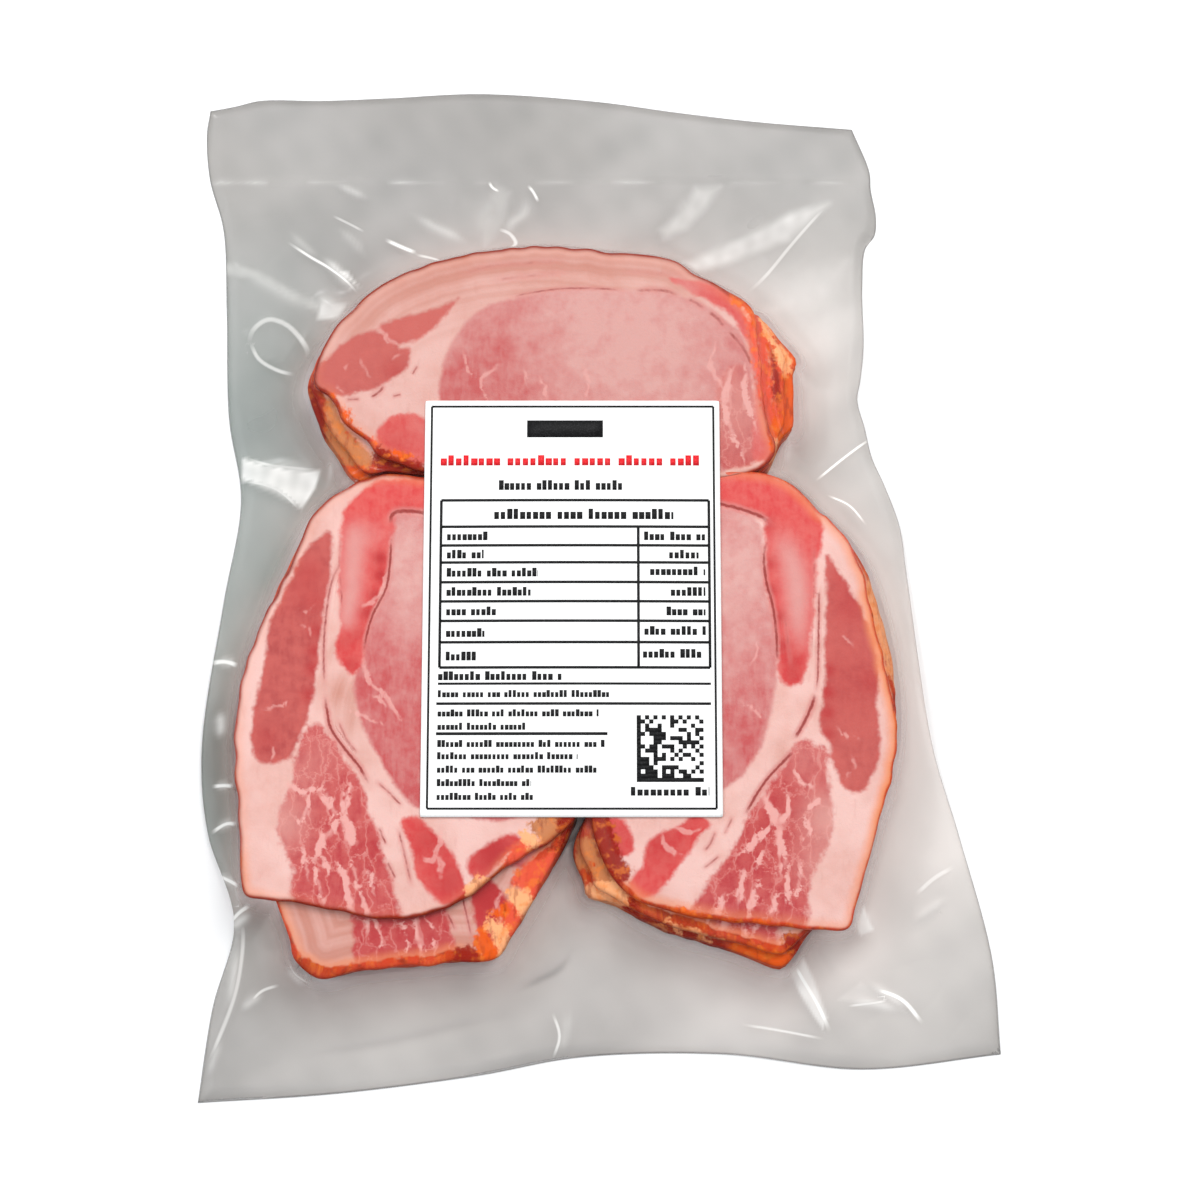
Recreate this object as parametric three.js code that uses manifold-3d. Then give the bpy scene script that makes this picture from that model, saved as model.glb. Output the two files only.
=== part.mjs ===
// Clear vacuum pack of sliced smoked pork loin, lying flat with its label up.
// Three shingled stacks of slices lie close together under one film. The film
// drapes down from them to a wide, thin, slightly wavy margin that is sealed
// all round. Bag and contents are one solid, and the label is a thin sheet
// that lies on the stacks where they meet.
// Millimetres, +Z up. The plan below is drawn about a point near the middle of
// the label, and the finished pack is moved so that the origin is the middle
// of its footprint, on the surface that it lies on.

import * as THREE from 'three';
import { mergeVertices } from 'three/addons/utils/BufferGeometryUtils.js';
import Module from 'manifold-3d';

// ---- driving dimensions ----------------------------------------------------

const SLICE_THICKNESS = 2.75;
const SLICES_PER_STACK = 8;
const STACK_HEIGHT = SLICE_THICKNESS * SLICES_PER_STACK;

const MARGIN_THICKNESS = 0.4; // two films and what little air is between them
const DRAPE_HEIGHT = 0.55 * STACK_HEIGHT; // how high the film meets a stack's side
const DRAPE_REACH = 8; // distance in which most of the drape has come down
const VALLEY_DROP = 2; // depth of the film between the stacks under the label
const MARGIN_WAVE = 2.6; // height of the margin's waves
const WAVE_LENGTHS = [150, 190, 260]; // lengths of the three waves that cross
const WAVE_START = 6; // distance from a stack at which the waves begin
const WAVE_FULL = 26; // distance from a stack at which they are full

const LABEL_SIZE = [101, 143];
const LABEL_CENTRE = [-9.5, -4.5];
const LABEL_THICKNESS = 0.3;
const LABEL_GAP = 0.3; // clearance between the label and the film below it
const LABEL_CORNER = 1.5;
const LABEL_CURL = 0.9; // how far the label's middle bows up
const LABEL_GRID = [10, 14];

const RIM_GROOVE = 0.9; // depth of the groove between two slices
const SLICE_WANDER = 1.1; // how far a slice lies off the one below it
const CROWN_DROP = 1.5; // fall of the top slice at its rim
const FIRST_SLICE_SHOWN = 3; // the slices below this one are inside the drape

const STACK_RAYS = 54;
const OUTLINE_SAMPLES = 200;
const RIM_STEPS = { bottom: 27, right: 33, top: 25, left: 35 };

// ---- plan: the bag's four edges, from corner to corner ------------------------

const BAG_EDGES = {
  bottom: [[-135, -170], [-89, -167], [-41, -161], [-7, -155], [42, -154], [88, -159], [135, -154]],
  right: [[135, -154], [133, -122], [123, -81], [114, -48], [107, 9], [96, 52], [93, 88], [97, 130], [91, 174]],
  top: [[91, 174], [42, 177], [7, 182], [-43, 187], [-100, 183], [-141, 180]],
  left: [
    [-141, 180], [-140, 152], [-133, 112], [-131, 66], [-126, 37], [-131, 0],
    [-137, -52], [-134, -80], [-124, -109], [-131, -139], [-135, -170],
  ],
};

// ---- plan: the stacks, each with its top slice and the slices under it ----------

const STACKS = [
  {
    name: 'upper',
    centre: [-15, 82],
    turn: 0.4,
    top: [
      [-99, 77], [-90, 96], [-69, 113], [-26, 123], [4, 121], [25, 118], [45, 106], [55, 91],
      [60, 64], [55, 43], [0, 38], [-61, 42], [-78, 50], [-90, 65],
    ],
    below: [
      [-101, 72], [-91, 94], [-69, 111], [-26, 121], [4, 119], [28, 115], [52, 99], [68, 81],
      [66, 58], [55, 41], [0, 36], [-61, 40], [-91, 48],
    ],
  },
  {
    name: 'left',
    centre: [-65, -38],
    turn: 1.7,
    top: [
      [-60, 41], [-77, 41], [-96, 30], [-106, 9], [-119, -21], [-123, -48], [-120, -80],
      [-116, -103], [-98, -105], [-70, -110], [-48, -105], [-30, -92], [-8, -76], [-6, -20],
      [-8, 18], [-28, 39],
    ],
    below: [
      [-60, 40], [-78, 39], [-97, 28], [-108, 7], [-119, -23], [-122, -50], [-119, -82],
      [-107, -106], [-101, -123], [-90, -130], [-64, -128], [-33, -120], [-17, -96], [-7, -74],
      [-5, -20], [-8, 17], [-28, 38],
    ],
  },
  {
    name: 'right',
    centre: [45, -35],
    turn: 3.1,
    top: [
      [41, 43], [60, 41], [75, 29], [87, 14], [94, -14], [100, -50], [92, -80], [83, -112],
      [58, -111], [25, -108], [8, -100], [0, -76], [-1, -20], [3, 20], [20, 39],
    ],
    below: [
      [41, 42], [60, 40], [76, 28], [89, 12], [95, -14], [99, -52], [92, -80], [74, -113],
      [60, -126], [32, -117], [8, -109], [-5, -100], [-3, -76], [-2, -20], [2, 19], [20, 38],
    ],
  },
];

// Broad folds of the film: a ridge from one point to another, falling off to both sides.
const FOLDS = [
  { from: [31, 117], to: [80, 140], height: 3.0, width: 7 },
  { from: [-124, 98], to: [-98, 82], height: 3.2, width: 6 },
  { from: [62, -120], to: [80, -150], height: 3.4, width: 7 },
  { from: [-14, -108], to: [-31, -140], height: 2.6, width: 7 },
  { from: [-124, -109], to: [-104, -112], height: 2.4, width: 6 },
];

const DRAWN_ABOUT = [-4, -2]; // the rays of the film start here

// ---- small geometry helpers -----------------------------------------------------

const lerp = THREE.MathUtils.lerp;
const smoothstep = THREE.MathUtils.smoothstep;

/** A smooth plan curve through the points. */
function planCurve(points, closed) {
  const spine = points.map(([x, y]) => new THREE.Vector3(x, y, 0));
  return new THREE.CatmullRomCurve3(spine, closed, 'centripetal');
}

/** An outline as a closed polygon of evenly spaced points. */
function outlinePolygon(points) {
  return planCurve(points, true).getSpacedPoints(OUTLINE_SAMPLES).slice(0, -1);
}

/** The farthest place where a ray from a centre leaves a polygon, or 0 where it misses. */
function reach(polygon, centre, angle) {
  const direction = [Math.cos(angle), Math.sin(angle)];
  let farthest = 0;
  polygon.forEach((start, i) => {
    const end = polygon[(i + 1) % polygon.length];
    const side = [end.x - start.x, end.y - start.y];
    const offset = [start.x - centre[0], start.y - centre[1]];
    const cross = direction[0] * side[1] - direction[1] * side[0];
    const along = (offset[0] * side[1] - offset[1] * side[0]) / cross;
    const across = (offset[0] * direction[1] - offset[1] * direction[0]) / cross;
    if (across >= 0 && across <= 1 && along > farthest) farthest = along;
  });
  return farthest;
}

/** Distance from a point to a segment, and the share of the segment's length reached. */
function segmentDistance([x, y], start, end) {
  const side = [end[0] - start[0], end[1] - start[1]];
  const length2 = side[0] ** 2 + side[1] ** 2;
  const share = ((x - start[0]) * side[0] + (y - start[1]) * side[1]) / length2;
  const held = THREE.MathUtils.clamp(share, 0, 1);
  return [Math.hypot(x - start[0] - held * side[0], y - start[1] - held * side[1]), held];
}

/** Distance from a point to a polygon, 0 inside it. */
function outsideDistance(point, polygon) {
  let inside = false;
  let nearest = Infinity;
  polygon.forEach((start, i) => {
    const end = polygon[(i + 1) % polygon.length];
    nearest = Math.min(nearest, segmentDistance(point, [start.x, start.y], [end.x, end.y])[0]);
    const straddles = start.y > point[1] !== end.y > point[1];
    const meets = start.x + ((point[1] - start.y) / (end.y - start.y)) * (end.x - start.x);
    if (straddles && point[0] < meets) inside = !inside;
  });
  return inside ? 0 : nearest;
}

/** A closed solid from rings of equal length, with a point that closes each end. */
function ringSolid(firstPoint, rings, lastPoint) {
  const count = rings[0].length;
  const positions = [...firstPoint, ...rings.flat(2), ...lastPoint];
  const last = 1 + rings.length * count;
  const indices = [];
  for (let i = 0; i < count; i += 1) {
    const next = (i + 1) % count;
    indices.push(0, 1 + next, 1 + i);
    for (let ring = 0; ring < rings.length - 1; ring += 1) {
      const low = 1 + ring * count;
      const high = low + count;
      indices.push(low + i, low + next, high + next);
      indices.push(low + i, high + next, high + i);
    }
    indices.push(last, last - count + i, last - count + next);
  }
  const geometry = new THREE.BufferGeometry();
  geometry.setAttribute('position', new THREE.Float32BufferAttribute(positions, 3));
  geometry.setIndex(indices);
  return geometry;
}

// ---- the film's shape -------------------------------------------------------------

const stackPolygons = STACKS.flatMap((stack) => [stack.top, stack.below]).map(outlinePolygon);

/** Distance from a plan point to the nearest stack, 0 over a stack. */
function contentsDistance(point) {
  return Math.min(...stackPolygons.map((polygon) => outsideDistance(point, polygon)));
}

/** Three slow waves that cross, from 0 to 1. */
function marginWave([x, y]) {
  const [first, second, third] = WAVE_LENGTHS;
  const sum =
    Math.sin((2 * Math.PI * (x + 0.6 * y)) / first) +
    Math.sin((2 * Math.PI * (y - 0.5 * x)) / second + 1.3) +
    Math.sin((2 * Math.PI * (1.7 * x + 1.3 * y)) / third + 2.6);
  return 0.5 + sum / 6;
}

/** Height of the broad folds at a plan point, fading towards each fold's far end. */
function foldHeight(point) {
  return FOLDS.reduce((sum, fold) => {
    const [distance, share] = segmentDistance(point, fold.from, fold.to);
    return sum + fold.height * (1 - 0.7 * share) * Math.exp(-((distance / fold.width) ** 2));
  }, 0);
}

/** How far inside the label a plan point is: 1 well inside, 0 outside. */
function underLabel([x, y]) {
  const acrossGap = LABEL_SIZE[0] / 2 - Math.abs(x - LABEL_CENTRE[0]);
  const alongGap = LABEL_SIZE[1] / 2 - Math.abs(y - LABEL_CENTRE[1]);
  return smoothstep(Math.min(acrossGap, alongGap), -2, 10);
}

/** Height of the film's upper side at a plan point. */
function filmHeight(point) {
  const distance = contentsDistance(point);
  const drape = DRAPE_HEIGHT * Math.exp(-distance / DRAPE_REACH);
  const relief = smoothstep(distance, WAVE_START, WAVE_FULL);
  const margin = MARGIN_THICKNESS + MARGIN_WAVE * marginWave(point) * relief;
  const fold = foldHeight(point) * smoothstep(distance, 0, WAVE_START);
  const valley = STACK_HEIGHT - VALLEY_DROP;
  return lerp(margin + drape + fold, valley, underLabel(point));
}

/** Height of the film's lower side: on the surface near the contents, then just below the upper side. */
function filmUnderside(point, top) {
  const lifted = smoothstep(contentsDistance(point), WAVE_START, WAVE_FULL);
  return Math.max(0, (top - MARGIN_THICKNESS) * lifted);
}

/** The rim of the bag as plan points, counter-clockwise from the lower left corner. */
function bagRim() {
  const { bottom, right, top, left } = BAG_EDGES;
  const edges = [[bottom, RIM_STEPS.bottom], [right, RIM_STEPS.right], [top, RIM_STEPS.top], [left, RIM_STEPS.left]];
  return edges.flatMap(([points, steps]) => planCurve(points, false).getSpacedPoints(steps).slice(0, -1));
}

/** Film with the filled space below it: rings on rays from the middle out to the rim and back below. */
function filmGeometry() {
  const inner = [0.3, 0.55, 0.8];
  const marginShares = [0, 0.07, 0.15, 0.25, 0.37, 0.52, 0.75, 1];
  const undersideShares = [1, 0.7, 0.45];
  const [cx, cy] = DRAWN_ABOUT;
  const rays = bagRim().map((rim) => {
    const angle = Math.atan2(rim.y - cy, rim.x - cx);
    const edge = Math.hypot(rim.x - cx, rim.y - cy);
    const contents = Math.max(...stackPolygons.map((polygon) => reach(polygon, DRAWN_ABOUT, angle)));
    return { angle, edge, contents: Math.min(contents, edge - 6) };
  });
  const place = (ray, radius, heightAt) => {
    const point = [cx + radius * Math.cos(ray.angle), cy + radius * Math.sin(ray.angle)];
    return [...point, heightAt(point)];
  };
  const marginRadius = (ray, share) => lerp(ray.contents - 1.5, ray.edge, share);
  const below = (point) => filmUnderside(point, filmHeight(point));
  const rings = [
    ...undersideShares.toReversed().map((share) => rays.map((ray) => place(ray, marginRadius(ray, share), below))),
    ...marginShares.toReversed().map((share) => rays.map((ray) => place(ray, marginRadius(ray, share), filmHeight))),
    ...inner.toReversed().map((share) => rays.map((ray) => place(ray, ray.contents * share, filmHeight))),
  ];
  return ringSolid([cx, cy, 0], rings, [cx, cy, filmHeight(DRAWN_ABOUT)]);
}

// ---- the stacks --------------------------------------------------------------------

/** A ring of a stack: its outline drawn in by an inset and moved sideways, at one height. */
function stackRing(polygon, centre, inset, [shiftX, shiftY], z) {
  return Array.from({ length: STACK_RAYS }, (_, i) => {
    const angle = (2 * Math.PI * i) / STACK_RAYS;
    const radius = reach(polygon, centre, angle) - inset;
    const x = centre[0] + shiftX + radius * Math.cos(angle);
    const y = centre[1] + shiftY + radius * Math.sin(angle);
    return [x, y, z];
  });
}

/** A stack: a groove and a rounded rim for each slice, then the crowned top slice. */
function stackGeometry({ centre, turn, top, below }) {
  const topPolygon = outlinePolygon(top);
  const lowerPolygon = outlinePolygon(below);
  const rings = [];
  for (let slice = FIRST_SLICE_SHOWN; slice < SLICES_PER_STACK; slice += 1) {
    const isTop = slice === SLICES_PER_STACK - 1;
    const polygon = isTop ? topPolygon : lowerPolygon;
    const wander = isTop ? 0 : SLICE_WANDER;
    const shift = [wander * Math.sin(2.4 * slice + turn), wander * Math.cos(3.1 * slice + turn)];
    const floor = slice * SLICE_THICKNESS;
    rings.push(stackRing(polygon, centre, RIM_GROOVE, shift, floor + 0.1 * SLICE_THICKNESS));
    rings.push(stackRing(polygon, centre, 0, shift, floor + 0.45 * SLICE_THICKNESS));
  }
  const crown = [[1.6, 0.35 * CROWN_DROP], [6, 0.1 * CROWN_DROP], [16, 0]];
  for (const [inset, drop] of crown) {
    rings.push(stackRing(topPolygon, centre, inset, [0, 0], STACK_HEIGHT - drop));
  }
  const floor = FIRST_SLICE_SHOWN * SLICE_THICKNESS;
  return ringSolid([...centre, floor], rings, [...centre, STACK_HEIGHT]);
}

// ---- joining -------------------------------------------------------------------------

const wasm = await Module();
wasm.setup();

/** A closed geometry as a solid. */
function toSolid(geometry) {
  const merged = mergeVertices(geometry, 1e-5);
  const vertProperties = new Float32Array(merged.attributes.position.array);
  const triVerts = new Uint32Array(merged.index.array);
  return new wasm.Manifold(new wasm.Mesh({ numProp: 3, vertProperties, triVerts }));
}

/** A solid as a geometry. */
function toGeometry(solid) {
  const { vertProperties, triVerts } = solid.getMesh();
  const geometry = new THREE.BufferGeometry();
  geometry.setAttribute('position', new THREE.BufferAttribute(vertProperties, 3));
  geometry.setIndex(new THREE.BufferAttribute(triVerts, 1));
  geometry.computeVertexNormals();
  return geometry;
}

/** The bag with its contents as one solid. */
function bagGeometry() {
  const stacks = STACKS.map((stack) => toSolid(stackGeometry(stack)));
  return toGeometry(stacks.reduce((joined, stack) => joined.add(stack), toSolid(filmGeometry())));
}

/** The label: a thin sheet with small round corners that bows up a little in the middle. */
function labelGeometry() {
  const [width, height] = LABEL_SIZE;
  const [columns, rows] = LABEL_GRID;
  const bed = STACK_HEIGHT + LABEL_GAP;
  const geometry = new THREE.BoxGeometry(width, height, LABEL_THICKNESS, columns, rows, 1);
  const position = geometry.attributes.position;
  for (let i = 0; i < position.count; i += 1) {
    const x = position.getX(i);
    const y = position.getY(i);
    const atCorner = Math.abs(x) > width / 2 - 1e-3 && Math.abs(y) > height / 2 - 1e-3;
    const inset = atCorner ? LABEL_CORNER * (1 - Math.SQRT1_2) : 0;
    const bow = LABEL_CURL * Math.cos((Math.PI * x) / width) * Math.cos((Math.PI * y) / height);
    const z = position.getZ(i) + LABEL_THICKNESS / 2 + bed + bow;
    position.setXYZ(i, x - inset * Math.sign(x), y - inset * Math.sign(y), z);
  }
  geometry.translate(...LABEL_CENTRE, 0);
  geometry.deleteAttribute('normal');
  geometry.deleteAttribute('uv');
  const merged = mergeVertices(geometry, 1e-4);
  merged.computeVertexNormals();
  return merged;
}

// ---- materials and assembly -------------------------------------------------------------

const packedMeat = new THREE.MeshStandardMaterial({ color: 0xdda39a, roughness: 0.25, metalness: 0 });
const whitePaper = new THREE.MeshStandardMaterial({ color: 0xf6f5f2, roughness: 0.6, metalness: 0 });

/** A named part. */
function part(name, geometry, material) {
  const mesh = new THREE.Mesh(geometry, material);
  mesh.name = name;
  return mesh;
}

const pack = new THREE.Group();
pack.add(part('bag', bagGeometry(), packedMeat));
pack.add(part('label', labelGeometry(), whitePaper));

const footprint = new THREE.Box3().setFromObject(pack);
pack.position.x = -(footprint.min.x + footprint.max.x) / 2;
pack.position.y = -(footprint.min.y + footprint.max.y) / 2;

export default pack;
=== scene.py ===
"""Clear vacuum pack of sliced smoked pork loin, lying flat with its label up.

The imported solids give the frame: one solid for the bag with its contents, and a
thin sheet for the label. This script puts the real things in their place: the
three shingled stacks of slices, each slice a mesh of its own with its muscles,
fat, seams and smoked rim, the film that drapes over them down to its wavy
margin, the paper label and its print.

Everything is drawn on one plan in millimetres, with +Y towards the bag's sealed
head, and Plan moves it into the row frame, which is in metres.
"""

import logging
import math
from dataclasses import dataclass
from enum import Enum

import bpy
import numpy as np
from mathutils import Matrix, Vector

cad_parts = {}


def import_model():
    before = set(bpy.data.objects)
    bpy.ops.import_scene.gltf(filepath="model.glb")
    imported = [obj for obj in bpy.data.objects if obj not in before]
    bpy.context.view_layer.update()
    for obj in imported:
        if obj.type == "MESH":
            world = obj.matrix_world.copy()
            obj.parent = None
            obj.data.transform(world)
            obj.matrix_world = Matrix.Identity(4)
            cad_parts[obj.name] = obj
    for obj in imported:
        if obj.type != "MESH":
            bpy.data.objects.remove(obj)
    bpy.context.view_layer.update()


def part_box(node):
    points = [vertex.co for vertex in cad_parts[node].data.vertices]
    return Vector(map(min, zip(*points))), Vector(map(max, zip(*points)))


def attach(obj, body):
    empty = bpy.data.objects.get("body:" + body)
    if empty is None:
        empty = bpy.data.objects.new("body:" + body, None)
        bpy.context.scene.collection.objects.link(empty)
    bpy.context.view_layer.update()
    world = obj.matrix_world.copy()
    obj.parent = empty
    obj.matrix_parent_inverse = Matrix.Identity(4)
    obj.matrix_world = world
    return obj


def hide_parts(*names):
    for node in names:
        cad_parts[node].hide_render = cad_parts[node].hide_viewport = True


log = logging.getLogger("loin_pack")

MM = 0.001
Array = np.ndarray
Fields = dict[str, Array]
Points = tuple[tuple[float, float], ...]
Lines = tuple[tuple[Points, float], ...]
Traces = tuple[tuple[Points, float, float], ...]
Blobs = tuple[tuple[float, float, float, float], ...]
Boxes = list[tuple[float, float, float, float]]
Colour = tuple[float, float, float, float]
Socket = bpy.types.NodeSocket
Input = Socket | float | tuple[float, ...]
Material = bpy.types.Material
Piece = bpy.types.Object

# ---- sizes shared by several pieces, in millimetres ----

SLICES_PER_STACK = 8
SLICE_PITCH = 2.75
SLICE_THICKNESS = 2.7
STACK_TOP = SLICES_PER_STACK * SLICE_PITCH
LABEL_SIZE = (101.0, 143.0)
LABEL_CENTRE = (-9.5, -4.5)
LEAST_HALF_WIDTH = 0.8
OUTSIDE = -5.0
TRACE_REACH = 2.6
# Vertices round the rim and rings on the face: top slice, second slice, all others.
SLICE_DETAIL = ((560, 165), (460, 70), (260, 12))

BAG_BOTTOM: Points = ((-135, -170), (-89, -167), (-41, -161), (-7, -155), (42, -154), (88, -159), (135, -154))
BAG_RIGHT: Points = (
    (135, -154), (133, -122), (123, -81), (114, -48), (107, 9), (105, 27), (100, 42), (95.8, 52), (93.4, 63), (91, 73),
    (92.2, 80), (93.6, 92), (93.6, 114), (95, 129), (98.4, 134), (99, 141), (97.4, 151), (97, 158), (91, 174),
)
BAG_TOP: Points = (
    (-141, 181), (-132, 182.8), (-123, 185), (-100, 185), (-76, 186), (-43, 187.6), (-1, 184.6), (27, 180.6), (56, 177),
    (91, 174),
)
BAG_LEFT: Points = (
    (-135, -170), (-131, -139), (-124, -109), (-134, -80), (-137, -52), (-131, 0), (-126, 37), (-131, 66), (-133, 106),
    (-135, 136), (-140.4, 155), (-142, 172), (-141, 181),
)


class Crust(Enum):
    """The colours of the patches that show where slices are cut through fat, lean and rind."""

    PEACH = "peach"
    CORAL = "coral"
    ORANGE = "orange"
    CRIMSON = "crimson"
    TAN = "tan"


PEACH, CORAL, ORANGE, CRIMSON, TAN = Crust
Patches = tuple[tuple[Crust, Points], ...]


# ---- plan geometry ----


def spline(points: Points, closed: bool, per_span: int = 14) -> Array:
    """A smooth plan curve through given points.

    Each span is a cubic whose end slopes come from its neighbours, with knots
    spaced by the square root of the distance between points.

    Args:
        points: the points, in millimetres.
        closed: whether the curve comes back to its first point.
        per_span: samples for each span.

    Returns:
        The samples, one row each.
    """
    knots = np.asarray(points, float)
    if closed:
        before, start, end, after = (np.roll(knots, shift, 0) for shift in (1, 0, -1, -2))
    else:
        ends = np.vstack([2 * knots[0] - knots[1], knots, 2 * knots[-1] - knots[-2]])
        before, start, end, after = ends[:-3], ends[1:-2], ends[2:-1], ends[3:]

    def gap(one: Array, other: Array) -> Array:
        """Knot distance between two rows of points."""
        return np.maximum(np.linalg.norm(other - one, axis=1), 1e-6)[:, None] ** 0.5

    first, middle, last = gap(before, start), gap(start, end), gap(end, after)
    slope_in = ((start - before) / first - (end - before) / (first + middle)) * middle + (end - start)
    slope_out = (end - start) + ((after - end) / last - (after - start) / (middle + last)) * middle
    t = (np.arange(per_span) / per_span)[:, None, None]
    samples = (
        (2 * t**3 - 3 * t**2 + 1) * start
        + (t**3 - 2 * t**2 + t) * slope_in
        + (3 * t**2 - 2 * t**3) * end
        + (t**3 - t**2) * slope_out
    )
    curve = samples.transpose(1, 0, 2).reshape(-1, 2)
    return curve if closed else np.vstack([curve, knots[-1]])


def along(curve: Array, shares: Array) -> Array:
    """The points of an open curve at those shares of its length."""
    length = np.concatenate([[0], np.cumsum(np.linalg.norm(np.diff(curve, axis=0), axis=1))])
    return np.stack([np.interp(shares * length[-1], length, curve[:, axis]) for axis in (0, 1)], axis=1)


def line_distance(x: Array, y: Array, line: Array) -> tuple[Array, Array, Array]:
    """Distance from plan points to a line of straight pieces.

    Args:
        x, y: the points.
        line: the line's corners, one row each.

    Returns:
        The distances, the share of the line's length at the nearest place, and
        whether the point is to the left of the line there.
    """
    start, end = line[:-1], line[1:]
    side = end - start
    length = np.maximum(np.linalg.norm(side, axis=1), 1e-9)
    done = np.concatenate([[0], np.cumsum(length)])
    best = np.full(x.shape, np.inf)
    share = np.zeros(x.shape)
    left = np.zeros(x.shape, bool)
    for index in range(len(side)):
        dx, dy = x - start[index, 0], y - start[index, 1]
        part = np.clip((dx * side[index, 0] + dy * side[index, 1]) / length[index] ** 2, 0, 1)
        distance = np.hypot(dx - part * side[index, 0], dy - part * side[index, 1])
        nearer = distance < best
        best = np.where(nearer, distance, best)
        share = np.where(nearer, (done[index] + part * length[index]) / done[-1], share)
        left = np.where(nearer, side[index, 0] * dy - side[index, 1] * dx > 0, left)
    return best, share, left


def near(x: Array, y: Array, line: Array, reach: float) -> Array:
    """Whether plan points are in the box round a line, with that much to spare."""
    low, high = line.min(axis=0) - reach, line.max(axis=0) + reach
    return (x > low[0]) & (x < high[0]) & (y > low[1]) & (y < high[1])


def inset(x: Array, y: Array, polygon: Array) -> Array:
    """How far inside a polygon plan points are, negative outside it.

    The distance to the nearest side, with the sign of an even-odd count of the
    sides that a ray towards +X crosses.

    Args:
        x, y: the points.
        polygon: its corners, one row each.

    Returns:
        The signed distances.
    """
    closed = np.vstack([polygon, polygon[:1]])
    distance = line_distance(x, y, closed)[0]
    inside = np.zeros(x.shape, bool)
    for (ax, ay), (bx, by) in zip(closed[:-1], closed[1:]):
        if ay == by:
            continue
        straddles = (ay > y) != (by > y)
        inside ^= straddles & (x < ax + (y - ay) * (bx - ax) / (by - ay))
    return np.where(inside, distance, -distance)


def radius_from(centre: tuple[float, float], outline: Array, angles: Array) -> Array:
    """How far an outline is from a centre inside it, in each direction.

    Args:
        centre: the middle that the directions start from.
        outline: the outline's points, one row each.
        angles: the directions, in radians.

    Returns:
        A distance for each angle, between those of the nearest two points.
    """
    offset = outline - np.asarray(centre)
    turn = np.arctan2(offset[:, 1], offset[:, 0])
    order = np.argsort(turn)
    return np.interp(angles, turn[order], np.hypot(*offset.T)[order], period=2 * math.pi)


def smooth(value: Array, low: float, high: float) -> Array:
    """0 below low, 1 above high, and an even S between them."""
    t = np.clip((value - low) / (high - low), 0, 1)
    return t * t * (3 - 2 * t)


def ripple(x: Array, y: Array, wavelength: float, seed: int, waves: int = 7) -> Array:
    """Soft uneven waves: sines of seeded direction, length and phase, added up.

    Args:
        x, y: the points.
        wavelength: the middle length of a wave, in millimetres.
        seed: what the directions, lengths and phases are drawn from.
        waves: how many sines.

    Returns:
        Values of about -1 to 1.
    """
    rng = np.random.default_rng(seed)
    total = np.zeros(x.shape)
    for _ in range(waves):
        angle, phase = rng.uniform(0, 2 * math.pi, 2)
        length = wavelength * rng.uniform(0.7, 1.5)
        total += np.sin(2 * math.pi * (x * math.cos(angle) + y * math.sin(angle)) / length + phase)
    return total / math.sqrt(2 * waves)


def drawn(x: Array, y: Array, lines: Lines) -> Array:
    """How strongly plan points are marked by lines of given half widths.

    Each line is 1 along its middle, falls off as a bell over its half width
    and tapers towards both ends. One too thin for the mesh is drawn wider and
    fainter. The points waver, so that no line is straight.

    Args:
        x, y: the points.
        lines: each line's points and half width.

    Returns:
        Marks from 0 to 1.
    """
    total = np.zeros(x.shape)
    x = x + 0.4 * ripple(x, y, 5.0, 90) + 0.2 * ripple(x, y, 2.4, 91)
    y = y + 0.4 * ripple(x, y, 5.5, 92) + 0.2 * ripple(x, y, 2.6, 93)
    for points, half_width in lines:
        line = spline(points, False, 5)
        width = max(half_width, LEAST_HALF_WIDTH)
        close = near(x, y, line, 2.5 * width)
        distance, share, _ = line_distance(x[close], y[close], line)
        strength = half_width / width * (0.4 + 0.6 * smooth(np.minimum(share, 1 - share), 0.0, 0.3))
        total[close] = np.maximum(total[close], strength * np.exp(-((distance / width) ** 2)))
    return total


def traced(x: Array, y: Array, traces: Traces) -> tuple[Array, Array]:
    """The strongest of some thin lines near plan points, and how far off it each point is.

    The distance is counted in the line's half widths, negative to its right,
    so that a finish can draw an edge finer than the mesh.

    Args:
        x, y: the points.
        traces: each line's points, half width and strength.

    Returns:
        The strengths and the distances.
    """
    strength = np.zeros(x.shape)
    offset = np.full(x.shape, 2 * TRACE_REACH)
    claim = np.full(x.shape, -np.inf)
    for points, half_width, amount in traces:
        line = spline(points, False, 6)
        close = near(x, y, line, 2 * TRACE_REACH)
        distance, share, left = line_distance(x[close], y[close], line)
        ends = smooth(np.minimum(share, 1 - share), 0.0, 0.25)
        value = amount * ends * smooth(distance, TRACE_REACH, 0.45 * TRACE_REACH)
        bid = value - 0.001 * distance
        stronger = bid > claim[close]
        claim[close] = np.where(stronger, bid, claim[close])
        strength[close] = np.where(stronger, value, strength[close])
        offset[close] = np.where(stronger, np.where(left, distance, -distance) / half_width, offset[close])
    return strength, offset


@dataclass(frozen=True)
class Plan:
    """Where the drawing's plan lies in the row frame."""

    shift_x: float
    shift_y: float

    @classmethod
    def from_label(cls) -> "Plan":
        """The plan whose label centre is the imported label's centre."""
        low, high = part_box("label")
        middle = (low + high) / (2 * MM)
        return cls(middle.x - LABEL_CENTRE[0], middle.y - LABEL_CENTRE[1])

    def place(self, x: Array, y: Array, z: Array) -> Array:
        """Plan coordinates and heights in millimetres, as row coordinates in metres."""
        return np.stack(np.broadcast_arrays(x + self.shift_x, y + self.shift_y, z), axis=-1) * MM


# ---- meshes ----


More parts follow.
